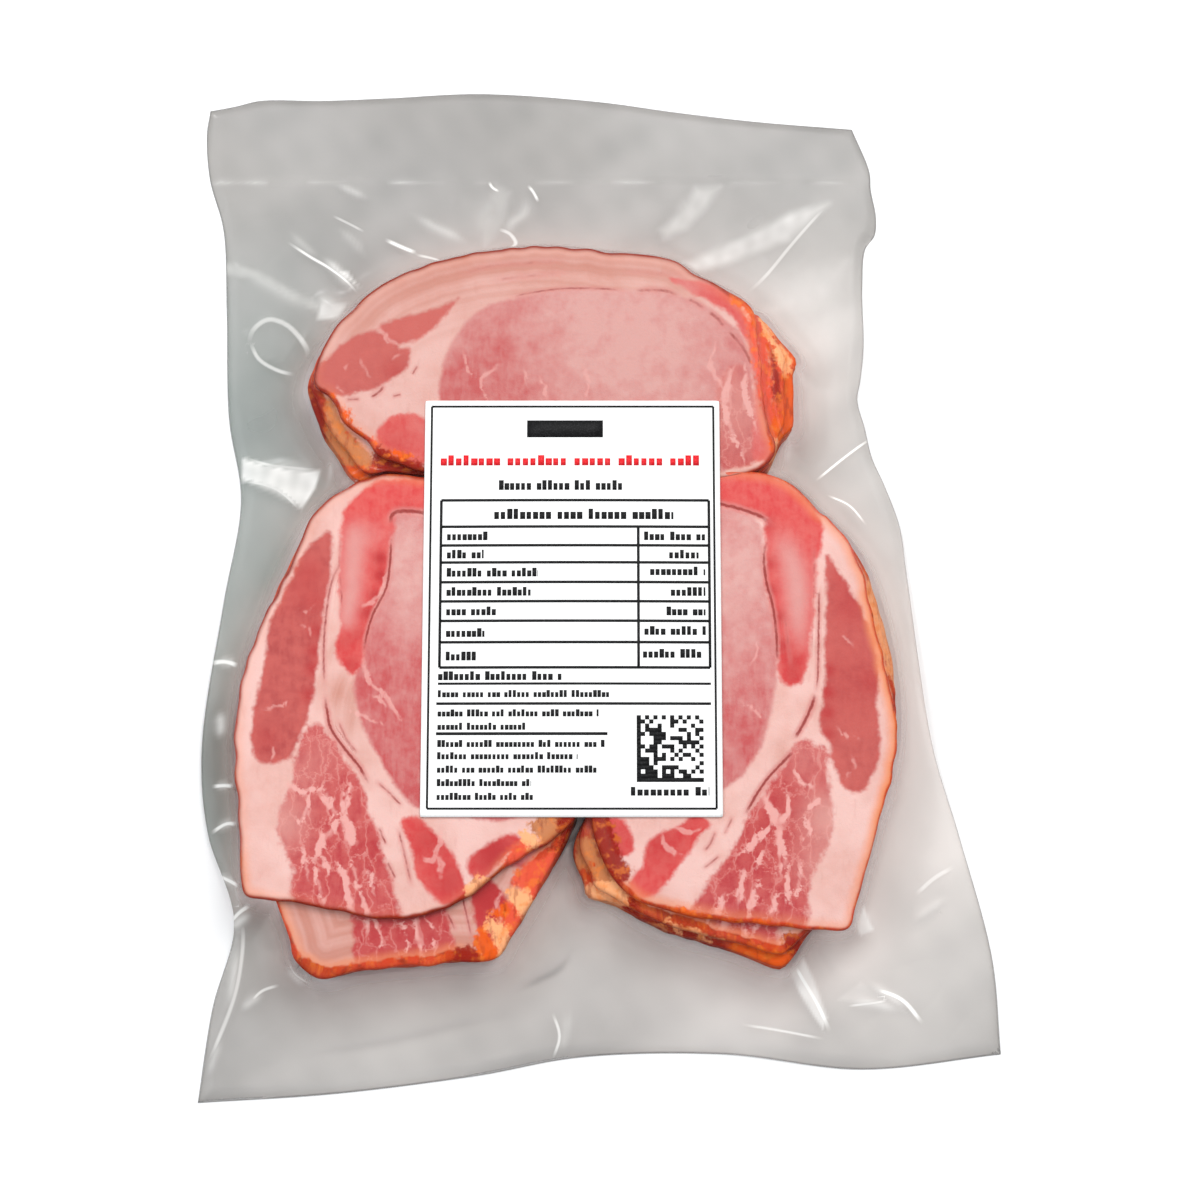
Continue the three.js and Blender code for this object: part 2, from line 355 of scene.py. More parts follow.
def make_piece(name: str, vertices: Array, quads: Array, triangles: Array, fields: Fields,
               material: Material) -> Piece:
    """A new object at the origin, from arrays.

    Args:
        name: the piece's name.
        vertices: the vertices in metres, one row each.
        quads: four vertex numbers a row.
        triangles: three vertex numbers a row.
        fields: values at the vertices, stored as attributes by name.
        material: its material.

    Returns:
        The object, smooth shaded.
    """
    mesh = bpy.data.meshes.new(name)
    corners = np.concatenate([quads.ravel(), triangles.ravel()]).astype(np.int32)
    starts = np.concatenate([np.arange(len(quads)) * 4, quads.size + np.arange(len(triangles)) * 3]).astype(np.int32)
    mesh.vertices.add(len(vertices))
    mesh.vertices.foreach_set("co", vertices.astype(np.float32).ravel())
    mesh.loops.add(len(corners))
    mesh.loops.foreach_set("vertex_index", corners)
    mesh.polygons.add(len(starts))
    mesh.polygons.foreach_set("loop_start", starts)
    mesh.polygons.foreach_set("use_smooth", np.ones(len(starts), bool))
    mesh.update(calc_edges=True)
    mesh.validate()
    for field_name, values in fields.items():
        attribute = mesh.attributes.new(field_name, "FLOAT", "POINT")
        attribute.data.foreach_set("value", values.astype(np.float32).ravel())
    piece = bpy.data.objects.new(name, mesh)
    bpy.context.scene.collection.objects.link(piece)
    mesh.materials.append(material)
    return piece


def ring_faces(rings: int, count: int) -> tuple[Array, Array]:
    """Faces of a closed body made of a first pole, rings and a last pole.

    The poles are vertex 0 and the last one. The rings run anticlockwise seen
    from above, from the top pole outwards and back below to the bottom pole.

    Args:
        rings: how many rings.
        count: vertices in a ring.

    Returns:
        The quads between the rings, and the triangles at both poles.
    """
    here = np.arange(count)
    following = (here + 1) % count
    first = 1 + np.arange(rings - 1)[:, None] * count
    second = first + count
    quads = np.stack([first + here, second + here, second + following, first + following], axis=-1)
    last = 1 + rings * count
    top = np.stack([np.zeros(count, int), 1 + here, 1 + following], axis=-1)
    bottom = np.stack([np.full(count, last), last - count + following, last - count + here], axis=-1)
    return quads.reshape(-1, 4), np.vstack([top, bottom])


def grid_faces(number: Array) -> Array:
    """The quads between neighbours in a grid of vertex numbers, four numbers each."""
    return np.stack([number[:-1, :-1], number[:-1, 1:], number[1:, 1:], number[1:, :-1]], axis=-1)


def slab_faces(rows: int, columns: int) -> Array:
    """Quads of a closed slab: an upper grid, the same grid below it, and four walls.

    Args:
        rows: vertices along Y.
        columns: vertices along X.

    Returns:
        Four vertex numbers a row. The lower grid's vertices follow the upper's.
    """
    number = np.arange(rows * columns).reshape(rows, columns)
    upper = grid_faces(number)
    lower = upper[..., ::-1] + rows * columns
    rim = np.concatenate([number[0, :], number[1:, -1], number[-1, -2::-1], number[-2:0:-1, 0]])
    after = np.roll(rim, -1)
    walls = np.stack([rim, rim + rows * columns, after + rows * columns, after], axis=-1)
    return np.vstack([upper.reshape(-1, 4), lower.reshape(-1, 4), walls])


# ---- node materials ----


def srgb(red: float, green: float, blue: float) -> Colour:
    """A screen colour, channels 0 to 255, as the linear colour that a socket takes."""

    def linear(part: float) -> float:
        """One channel."""
        part /= 255
        return part / 12.92 if part <= 0.04045 else ((part + 0.055) / 1.055) ** 2.4

    return (linear(red), linear(green), linear(blue), 1.0)


class Graph:
    """A material's node tree, with one short method for each kind of node in use."""

    def __init__(self, name: str) -> None:
        """An empty node tree in a new material."""
        self.material = bpy.data.materials.new(name)
        self.material.use_nodes = True
        self.tree = self.material.node_tree
        self.tree.nodes.clear()

    def node(self, kind: str, inputs: dict | None = None, **settings: object) -> bpy.types.Node:
        """A new node.

        Args:
            kind: the node's type.
            inputs: a socket or a value for each input that isn't left as it is.
            settings: the node's own settings.

        Returns:
            The node, linked.
        """
        made = self.tree.nodes.new(kind)
        for name, value in settings.items():
            setattr(made, name, value)
        for key, value in (inputs or {}).items():
            if isinstance(value, Socket):
                self.tree.links.new(value, made.inputs[key])
            else:
                made.inputs[key].default_value = value
        return made

    def millimetres(self) -> Socket:
        """Object coordinates in millimetres."""
        place = self.node("ShaderNodeTexCoord").outputs["Object"]
        return self.mapped(place, scale=(1 / MM, 1 / MM, 1 / MM))

    def mapped(self, vector: Socket, scale: tuple[float, float, float], turn: float = 0.0) -> Socket:
        """A vector scaled and turned about Z."""
        inputs = {"Vector": vector, "Scale": scale, "Rotation": (0, 0, turn)}
        return self.node("ShaderNodeMapping", inputs).outputs[0]

    def stored(self, name: str) -> Socket:
        """A value stored at the vertices."""
        return self.node("ShaderNodeAttribute", attribute_name=name).outputs["Fac"]

    def noise(self, vector: Socket, scale: float, detail: float = 2, roughness: float = 0.5) -> Socket:
        """Cloudy noise from 0 to 1."""
        inputs = {"Vector": vector, "Scale": scale, "Detail": detail, "Roughness": roughness}
        return self.node("ShaderNodeTexNoise", inputs).outputs[0]

    def cell_edge(self, vector: Socket) -> Socket:
        """Distance to the nearest edge between seeded cells of about unit size."""
        inputs = {"Vector": vector, "Scale": 1.0, "Randomness": 1.0}
        return self.node("ShaderNodeTexVoronoi", inputs, feature="DISTANCE_TO_EDGE").outputs["Distance"]

    def math(self, operation: str, first: Input, second: Input = 0.0, third: Input = 0.0,
             clamp: bool = False) -> Socket:
        """One arithmetic step."""
        inputs = {0: first, 1: second, 2: third}
        return self.node("ShaderNodeMath", inputs, operation=operation, use_clamp=clamp).outputs[0]

    def times(self, first: Input, second: Input, clamp: bool = False) -> Socket:
        """The product of two values."""
        return self.math("MULTIPLY", first, second, clamp=clamp)

    def scaled(self, first: Input, second: Input, third: Input, clamp: bool = False) -> Socket:
        """The product of two values, plus a third."""
        return self.math("MULTIPLY_ADD", first, second, third, clamp)

    def ramp(self, value: Input, low: Input, high: Input, start: Input = 0.0, stop: Input = 1.0) -> Socket:
        """An even S from start to stop while the value goes from low to high."""
        inputs = {"Value": value, "From Min": low, "From Max": high, "To Min": start, "To Max": stop}
        return self.node("ShaderNodeMapRange", inputs, interpolation_type="SMOOTHSTEP").outputs[0]

    def mix(self, first: Input, second: Input, factor: Input) -> Socket:
        """Two colours mixed."""
        inputs = {0: factor, 6: first, 7: second}
        return self.node("ShaderNodeMix", inputs, data_type="RGBA").outputs[2]

    def pushed(self, vector: Socket, push_x: Socket, push_y: Socket, amount: float) -> Socket:
        """A vector moved in plan by two values, times an amount."""
        push = self.node("ShaderNodeCombineXYZ", {"X": push_x, "Y": push_y}).outputs[0]
        scaled = self.node("ShaderNodeVectorMath", {0: push, "Scale": amount}, operation="SCALE").outputs[0]
        return self.node("ShaderNodeVectorMath", {0: vector, 1: scaled}, operation="ADD").outputs[0]

    def bump(self, height: Socket, distance: float) -> Socket:
        """A surface normal tilted by a height of about 0 to 1, for that distance in metres."""
        inputs = {"Height": height, "Distance": distance, "Strength": 1.0}
        return self.node("ShaderNodeBump", inputs).outputs[0]

    def finish(self, shader: Socket) -> Material:
        """The material, with this shader as its surface."""
        self.node("ShaderNodeOutputMaterial", {"Surface": shader})
        return self.material


@dataclass(frozen=True)
class MeatFinish:
    """Cured and smoked loin: fat with lean muscles in it, marbled belly lean and a smoked rind.

    Four noises, from broad to fine, are shared by everything on the slice: they
    make the muscles' edges waver, bend the veins and mottle the colours.
    """

    name: str
    streak_turn: float
    dull: float
    umber: Colour = srgb(150, 98, 88)
    fat: Colour = srgb(220, 171, 161)
    fat_light: Colour = srgb(229, 187, 179)
    fat_shade: Colour = srgb(209, 157, 148)
    blush: Colour = srgb(206, 127, 122)
    lean: Colour = srgb(168, 71, 70)
    lean_light: Colour = srgb(199, 99, 92)
    # Darker red: real in some muscle spots, and painted shade on the lower slices.
    deep_and_shade: Colour = srgb(179, 51, 53)
    eye_pink: Colour = srgb(191, 86, 87)
    eye_pale: Colour = srgb(212, 160, 154)
    cap: Colour = srgb(209, 69, 69)
    cap_light: Colour = srgb(216, 108, 101)
    belly: Colour = srgb(182, 65, 69)
    belly_light: Colour = srgb(199, 97, 93)
    vein: Colour = srgb(228, 168, 161)
    seam: Colour = srgb(140, 44, 40)
    # Brownish tone: real smoked colour near some rims and seams, and painted shade on the lower slices.
    warm_and_shade: Colour = srgb(189, 121, 103)
    glow: Colour = srgb(229, 139, 94)
    smoke_light: Colour = srgb(236, 128, 44)
    smoke_orange: Colour = srgb(206, 62, 6)
    smoke_brown: Colour = srgb(124, 24, 4)
    patch_colours: tuple[tuple[Crust, Colour], ...] = (
        (TAN, srgb(194, 122, 76)),
        (CRIMSON, srgb(146, 22, 6)),
        (CORAL, srgb(226, 84, 58)),
        (ORANGE, srgb(226, 88, 14)),
        (PEACH, srgb(248, 176, 124)),
    )

    def material(self) -> Material:
        """Lays the colours over each other, from the fat up to the rind.

        Returns:
            The meat.
        """
        graph = Graph(self.name)
        mix, ramp, times, scaled = graph.mix, graph.ramp, graph.times, graph.scaled
        stored, noise = graph.stored, graph.noise
        place = graph.millimetres()
        cloud = noise(place, 0.055, 2)
        mottle = noise(place, 0.27, 3, 0.6)
        broad = graph.math("SUBTRACT", noise(place, 0.15, 2), 0.5)
        fine = graph.math("SUBTRACT", noise(place, 0.7, 3, 0.65), 0.5)
        middle = graph.math("SUBTRACT", mottle, 0.5)
        speckle = ramp(mottle, 0.34, 0.66)

        def wavered(name: str, broad_share: float, middle_share: float, fine_share: float) -> Socket:
            """A stored distance with shares of three of the noises added."""
            value = scaled(broad, broad_share, stored(name))
            value = scaled(middle, middle_share, value)
            return scaled(fine, fine_share, value)

        streaks = graph.mapped(place, scale=(0.5, 0.14, 0.3), turn=self.streak_turn)
        fibre = noise(graph.pushed(streaks, broad, fine, 0.8), 1.0, 3, 0.6)
        strands = ramp(fibre, 0.4, 0.64)

        fat = mix(self.fat, self.fat_light, ramp(cloud, 0.36, 0.62))
        fat = mix(fat, self.fat_light, times(speckle, 0.35))
        flecks = times(ramp(fibre, 0.56, 0.72), 0.28)
        colour = mix(fat, self.fat_shade, flecks)
        # Brownish tone, banded: real smoked colour near some rims and seams, and painted shade on the lower slices.
        layers = graph.node("ShaderNodeCombineXYZ", {"X": stored("rim"), "Y": broad}).outputs[0]
        banding = ramp(noise(layers, 0.22, 2), 0.36, 0.66, 0.5, 1.0)
        colour = mix(colour, self.warm_and_shade, times(stored("warm_and_shade"), banding))

        pale = scaled(broad, 0.9, stored("pale"))
        pale = scaled(middle, 0.7, pale, clamp=True)
        eye = mix(self.eye_pink, self.eye_pale, pale)
        eye = mix(eye, self.eye_pale, times(strands, 0.2))
        eye = mix(eye, self.deep_and_shade, times(stored("deep_and_shade"), 0.3))
        colour = mix(colour, eye, ramp(wavered("eye", 2.2, 1.6, 1.0), -0.9, 1.1))

        turned = graph.mapped(place, scale=(1 / 5.4, 1 / 9.5, 0.05), turn=self.streak_turn)
        lobes = graph.cell_edge(graph.pushed(turned, broad, fine, 1.1))
        belly = mix(self.belly, self.belly_light, times(speckle, 0.6))
        belly = mix(belly, self.belly_light, times(strands, 0.5))
        belly = mix(belly, self.belly_light, ramp(lobes, 0.02, 0.16, 0.8, 0.0))
        belly = mix(belly, self.deep_and_shade, times(stored("deep_and_shade"), 0.6))
        belly = mix(belly, self.fat, stored("faint"))
        belly_mask = ramp(wavered("belly", 4.2, 3.4, 2.0), -1.1, 1.2)
        colour = mix(colour, belly, belly_mask)

        cap = mix(self.cap, self.cap_light, times(speckle, 0.45))
        cap = mix(cap, self.cap_light, times(strands, 0.3))
        cap = mix(cap, self.eye_pale, stored("faint"))
        cap = mix(cap, self.deep_and_shade, stored("deep_and_shade"))
        colour = mix(colour, cap, ramp(wavered("cap", 2.2, 2.4, 1.3), -1.0, 1.0))

        lean = mix(self.lean, self.lean_light, times(speckle, 0.55))
        lean = mix(lean, self.lean_light, times(strands, 0.4))
        lean = mix(lean, self.lean_light, ramp(cloud, 0.46, 0.6, 0.0, 0.35))
        paler = times(stored("pale"), 0.85, clamp=True)
        lean = mix(lean, self.lean_light, paler)
        lean = mix(lean, self.deep_and_shade, stored("deep_and_shade"))
        colour = mix(colour, lean, ramp(wavered("lean", 2.2, 2.4, 1.4), -1.0, 1.0))

        drawn_vein = stored("vein")
        width = scaled(drawn_vein, 0.26, 0.035)
        network = ramp(graph.math("DIVIDE", lobes, width), 0.35, 1.1, 1.0, 0.0)
        beside = ramp(drawn_vein, 0.05, 0.6, 0.0, 0.62)
        shown = scaled(belly_mask, 0.3, beside, clamp=True)
        core = ramp(scaled(fine, 0.6, drawn_vein), 0.4, 1.2, 0.0, 0.72)
        colour = mix(colour, self.vein, graph.math("MAXIMUM", times(network, shown), core))

        strength = stored("seam")
        off = graph.math("ABSOLUTE", scaled(fine, 1.4, stored("cleft")))
        halo = times(ramp(off, 0.6, 3.6, 0.75, 0.0), strength)
        colour = mix(colour, self.blush, halo)
        dashed = scaled(middle, 1.1, strength)
        shown = ramp(dashed, 0.25, 1.0, 0.0, 0.85)
        core = times(ramp(off, 0.35, 1.15, 1.0, 0.0), shown)
        colour = mix(colour, self.seam, core)

        colour = mix(colour, self.umber, self.dull)
        rim = stored("rim")
        dark = stored("dark")
        smoke = stored("smoke")
        uneven = scaled(middle, 2.2, times(broad, 2.0))
        reach = scaled(uneven, ramp(smoke, 0.5, 3.0, 0.3, 1.4), rim)
        past = graph.math("SUBTRACT", reach, smoke)
        glow = times(ramp(past, 0.0, 4.2, 1.0, 0.0), stored("glow"))
        colour = mix(colour, self.glow, glow)
        crust = mix(self.smoke_orange, self.smoke_brown, dark)
        crust = mix(crust, self.smoke_light, ramp(fibre, 0.46, 0.66, 0.0, 0.45))
        crust = mix(crust, self.cap, ramp(cloud, 0.46, 0.58, 0.0, 0.2))
        crust = mix(crust, self.smoke_brown, ramp(mottle, 0.5, 0.68, 0.0, 0.7))
        colour = mix(colour, crust, ramp(past, -0.5, 0.6, 0.95, 0.0))
        for kind, patch in self.patch_colours:
            edge = scaled(middle, 6.0, stored(kind.value))
            edge = scaled(fine, 5.0, edge)
            shade = mix(patch, self.smoke_brown, ramp(fibre, 0.5, 0.3, 0.0, 0.5))
            shade = mix(shade, self.smoke_light, ramp(mottle, 0.5, 0.66, 0.0, 0.5))
            colour = mix(colour, shade, ramp(edge, -1.0, 0.9, 0.0, 0.95))
        line = scaled(dark, 1.1, 0.15, clamp=True)
        line = times(ramp(rim, 0.0, 2.1, 1.0, 0.0), line)
        colour = mix(colour, self.smoke_brown, line)

        grain = noise(place, 1.3, 2, 0.6)
        shader = graph.node("ShaderNodeBsdfPrincipled", {
            "Base Color": colour,
            "Roughness": ramp(mottle, 0.2, 0.8, 0.34, 0.5),
            "Specular IOR Level": 0.1,
            "Subsurface Weight": 0.1,
            "Subsurface Radius": (0.9, 0.35, 0.25),
            "Subsurface Scale": 0.002,
            "Normal": graph.bump(grain, 0.00012),
        })
        return graph.finish(shader.outputs[0])


@dataclass(frozen=True)
class FilmFinish:
    """Clear vacuum film: nearly invisible where it clings, milky grey in the margin, glossy everywhere."""

    name: str
    shade: Colour = srgb(112, 110, 107)
    light: Colour = srgb(246, 238, 233)
    teal: Colour = srgb(120, 146, 140)
    # White of milky crests and facets: partly stress whitening, partly painted highlight.
    whitening_and_highlight: Colour = srgb(255, 253, 250)
    # Pink that the meat reflects onto the film beside it: a painted reflection.
    meat_bounce: Colour = srgb(206, 158, 140)
    least_gloss: float = 0.008
    gloss_roughness: float = 0.2

    def material(self) -> Material:
        """Mixes a white body into a clear one, and gloss over both. The body's colour carries painted light and shade,
        painted highlights on creases and facets, and a painted reflection of the meat beside the stacks.

        The share that mirrors grows from head-on to grazing view by the fifth
        power, on both sides of the film alike.

        Returns:
            The film.
        """
        graph = Graph(self.name)
        veil = graph.stored("veil")
        # The stored line and offset draw the creases' thin painted highlights.
        off = graph.math("ABSOLUTE", graph.stored("offset"))
        line = graph.times(graph.ramp(off, 0.3, 1.3, 1.0, 0.0), graph.stored("line"))
        haze_and_highlight = graph.math("MAXIMUM", graph.stored("haze_and_highlight"), line)
        # The tone's mix of the shade and light colours carries painted light and shade.
        colour = graph.mix(self.shade, self.light, graph.stored("tone"))
        colour = graph.mix(colour, self.teal, graph.stored("cool"))
        # Painted reflection: the film is tinted pink near the stacks.
        colour = graph.mix(colour, self.meat_bounce, graph.stored("meat_bounce_share"))
        # Painted highlights, with some stress whitening, turn the film white and more opaque.
        colour = graph.mix(colour, self.whitening_and_highlight, haze_and_highlight)
        body = graph.node("ShaderNodeBsdfDiffuse", {"Color": colour})
        clear = graph.node("ShaderNodeBsdfTransparent")
        opacity = graph.scaled(haze_and_highlight, 0.5, veil, clamp=True)
        film = graph.node("ShaderNodeMixShader", {0: opacity, 1: clear.outputs[0], 2: body.outputs[0]})
        gloss = graph.node("ShaderNodeBsdfGlossy", {"Color": (1, 1, 1, 1), "Roughness": self.gloss_roughness})
        facing = graph.node("ShaderNodeLayerWeight", {"Blend": 0.5}).outputs["Facing"]
        grazing = graph.math("POWER", facing, 5.0)
        mirror = graph.node("ShaderNodeMapRange", {
            "Value": grazing, "To Min": self.least_gloss, "To Max": 0.4,
        }).outputs[0]
        both = graph.node("ShaderNodeMixShader", {0: mirror, 1: film.outputs[0], 2: gloss.outputs[0]})
        return graph.finish(both.outputs[0])


@dataclass(frozen=True)
class PaperFinish:
    """White coated label paper with a faint fibre."""

    name: str = "label_paper"
    white: Colour = srgb(252, 252, 251)
    shaded: Colour = srgb(244, 244, 243)

    def material(self) -> Material:
        """Mottles the white by a stretched noise.

        Returns:
            The paper.
        """
        graph = Graph(self.name)
        place = graph.millimetres()
        fibre = graph.noise(graph.mapped(place, scale=(1.0, 0.35, 1.0)), 1.8, 4, 0.65)
        colour = graph.mix(self.shaded, self.white, graph.ramp(fibre, 0.3, 0.6))
        shader = graph.node("ShaderNodeBsdfPrincipled", {
            "Base Color": colour, "Roughness": 0.55, "Specular IOR Level": 0.25,
            "Normal": graph.bump(fibre, 0.00003),
        })
        return graph.finish(shader.outputs[0])


@dataclass(frozen=True)
class InkFinish:
    """Printed ink, a little uneven over the paper's fibre."""

    name: str
    colour: Colour
    worn: Colour

    def material(self) -> Material:
        """Mixes full and worn ink by a noise.

        Returns:
            The ink.
        """
        graph = Graph(self.name)
        place = graph.millimetres()
        coverage = graph.ramp(graph.noise(place, 2.2, 3, 0.6), 0.3, 0.55)
        shader = graph.node("ShaderNodeBsdfPrincipled", {
            "Base Color": graph.mix(self.worn, self.colour, coverage),
            "Roughness": 0.6,
            "Specular IOR Level": 0.2,
        })
        return graph.finish(shader.outputs[0])


# ---- the slices ----


@dataclass(frozen=True)
class Tint:
    """A value over the plan: a base, and round soft spots of (x, y, radius, amount)."""

    base: float = 0.0
    spots: Blobs = ()

    def at(self, x: Array, y: Array, low: float = 0.0, high: float = 1.0) -> Array:
        """The value at plan points.

        Args:
            x, y: the points.
            low, high: the limits that it is kept between.

        Returns:
            The base and every spot's bell, added.
        """
        total = np.full(x.shape, self.base, float)
        for spot_x, spot_y, radius, amount in self.spots:
            total += amount * np.exp(-((x - spot_x) ** 2 + (y - spot_y) ** 2) / radius**2)
        return np.clip(total, low, high)


@dataclass(frozen=True)
class Rind:
    """The smoked rind of a slice: how wide it shows, in millimetres, and where it is dark or glowing."""

    smoke: Tint
    dark: Tint
    # Brownish tone: real near some rims and seams, painted shade on lower slices.
    warm_and_shade: Tint = Tint()
    glow: Tint = Tint(0.5)
    patches: Patches = ()

    def fields(self, x: Array, y: Array) -> Fields:
        """The values that the meat's finish reads for the rind.

        Args:
            x, y: the plan points.

        Returns:
            The tints, and how far inside a patch of each kind a point is.
        """
        patched = {kind.value: np.full(x.shape, OUTSIDE) for kind in Crust}
        for kind, outline in self.patches:
            polygon = spline(outline, True, 3)
            close = near(x, y, polygon, -OUTSIDE)
            depth = inset(x[close], y[close], polygon)
            patched[kind.value][close] = np.maximum(patched[kind.value][close], depth)
        return patched | {
            "smoke": self.smoke.at(x, y, 0.35, 12.0),
            "dark": self.dark.at(x, y),
            "warm_and_shade": self.warm_and_shade.at(x, y),
            "glow": self.glow.at(x, y),
        }


@dataclass(frozen=True)
class MuscleMap:
    """The muscles, seams and tints of one stack's slices, as plan outlines and soft spots."""

    eye: tuple[Points, ...]
    lean: tuple[Points, ...]
    belly: tuple[Points, ...]
    cap: tuple[Points, ...]
    seams: Traces
    veins: Lines
    pale: Tint
    faint: Tint
    deep_and_shade: Tint

    def fields(self, x: Array, y: Array) -> Fields:
        """The values that the meat's finish reads for the muscles.

        Each muscle's value is the distance inside its outline, the largest of
        several outlines of one kind. Veins are pale lines and seams dark ones.

        Args:
            x, y: the plan points.

        Returns:
            The values by name.
        """
        muscles = {"eye": self.eye, "lean": self.lean, "belly": self.belly, "cap": self.cap}
        values = {
            kind: np.max([inset(x, y, spline(points, True, 6)) for points in outlines], axis=0)
            for kind, outlines in muscles.items()
        }
        values["seam"], values["cleft"] = traced(x, y, self.seams)
        values["vein"] = drawn(x, y, self.veins)
        values["pale"] = self.pale.at(x, y)
        values["faint"] = self.faint.at(x, y)
        values["deep_and_shade"] = self.deep_and_shade.at(x, y)
        return values


@dataclass(frozen=True)
class LoinStack:
    """A shingled stack of slices that share one muscle map, with its sizes in millimetres."""

    name: str
    centre: tuple[float, float]
    top: Points
    below: Points
    muscles: MuscleMap
    rind: Rind
    under_rind: Rind
    lay: tuple[float, float]
    shares: tuple[float, ...]
    streak_turn: float
    seed: int
    dull: float = 0.0
    edge_radius: float = 0.85
    rim_waver: float = 0.35
    wander: float = 0.8
    wave_radius: float = 60.0
    drift: float = 1.5
    # Painted shade: how much darker red the lower slices are made.
    under_shade: float = 0.6
    under_vein: float = 0.6
    under_crowding: float = 0.45
    bend_steps: int = 9
    lower_shares: tuple[float, ...] = (1.0, 0.6, 0.2)
    seam_depth: float = 0.08
    lean_depth: float = 0.1
    face_waves: float = 0.05

    def outline(self, level: int, angles: Array) -> Array:
        """Radius of a slice's outline in each direction.

        A lower slice's outline goes from the top slice's towards the outermost
        one by that level's share, and wavers with seeded waves.

        Args:
            level: the slice, 0 being the top one.
            angles: the directions, in radians.

        Returns:
            The radii.
        """
        upper = radius_from(self.centre, spline(self.top, True), angles)
        outer = radius_from(self.centre, spline(self.below, True), angles)
        share = self.shares[level]
        radius = upper + share * (outer - upper)
        ring_x, ring_y = self.wave_radius * np.cos(angles), self.wave_radius * np.sin(angles)
        radius = radius + self.rim_waver * (ripple(ring_x, ring_y, 9.0, self.seed + level) - 0.8)
        if level:
            inwards = (1 + ripple(ring_x, ring_y, 40.0, self.seed + 20 + level)) / 2
            radius = radius - self.wander * inwards
        return radius

    def build(self, plan: Plan, level: int, rays: int, face_rings: int, material: Material) -> Piece:
        """One slice as a closed disc with a rounded rim.

        A vertex is at angle a and distance f * r(a) from the centre, with f from
        0 at the middle to 1 at the rim. The rim is a half round of the slice's
        thickness, and the face sinks a little along seams and on lean.

        Args:
            plan: where the plan lies.
            level: 0 for the top slice.
            rays: vertices round the rim.
            face_rings: rings on the upper face.
            material: the meat.

        Returns:
            The slice.
        """
        angles = np.linspace(0, 2 * math.pi, rays, endpoint=False)
        radius = self.outline(level, angles)
        ceiling = STACK_TOP - level * SLICE_PITCH
        middle = ceiling - SLICE_THICKNESS / 2
        bend = np.linspace(math.pi / 2, -math.pi / 2, self.bend_steps)
        face = np.linspace(0, 1, face_rings + 1)[1:] ** (1.0 if level == 0 else self.under_crowding)
        upper_radius = np.outer(face, radius - self.edge_radius)
        edge_radius = radius - self.edge_radius * (1 - np.cos(bend[1:-1]))[:, None]
        lower_radius = np.outer(self.lower_shares, radius - self.edge_radius)
        rings = np.vstack([upper_radius, edge_radius, lower_radius])
        x = self.centre[0] + rings * np.cos(angles)
        y = self.centre[1] + rings * np.sin(angles)
        x = np.concatenate([[self.centre[0]], x.ravel(), [self.centre[0]]])
        y = np.concatenate([[self.centre[1]], y.ravel(), [self.centre[1]]])

        shift_x, shift_y = self.lay if level else (0.0, 0.0)
        drift = self.drift * max(level - 1, 0)
        values = self.muscles.fields(x - shift_x - drift, y - shift_y + drift)
        values |= (self.under_rind if level else self.rind).fields(x, y)
        if level:
            # Painted shade: the lower slices are made darker red.
            values["deep_and_shade"] = np.minimum(values["deep_and_shade"] + self.under_shade, 1)
            values["vein"] = self.under_vein * values["vein"]
        own = np.stack([self.centre[0] + radius * np.cos(angles), self.centre[1] + radius * np.sin(angles)], axis=1)
        values["rim"] = inset(x, y, own)

        relief = self.seam_depth * values["seam"] * np.exp(-((values["cleft"] / 2) ** 2))
        relief = relief + self.lean_depth * smooth(values["lean"], -0.6, 0.6)
        relief += self.face_waves * (1 + ripple(x, y, 7.0, self.seed + 50 + level))
        upper_count = 1 + upper_radius.size
        edge_z = np.repeat(middle + SLICE_THICKNESS / 2 * np.sin(bend[1:-1]), rays)
        z = np.concatenate([
            ceiling - relief[:upper_count] * np.minimum(values["rim"][:upper_count] / 2, 1),
            edge_z,
            np.full(lower_radius.size + 1, ceiling - SLICE_THICKNESS),
        ])
        quads, triangles = ring_faces(len(rings), rays)
        name = f"slice_{self.name}_{level + 1}"
        return make_piece(name, plan.place(x, y, z), quads, triangles, values, material)


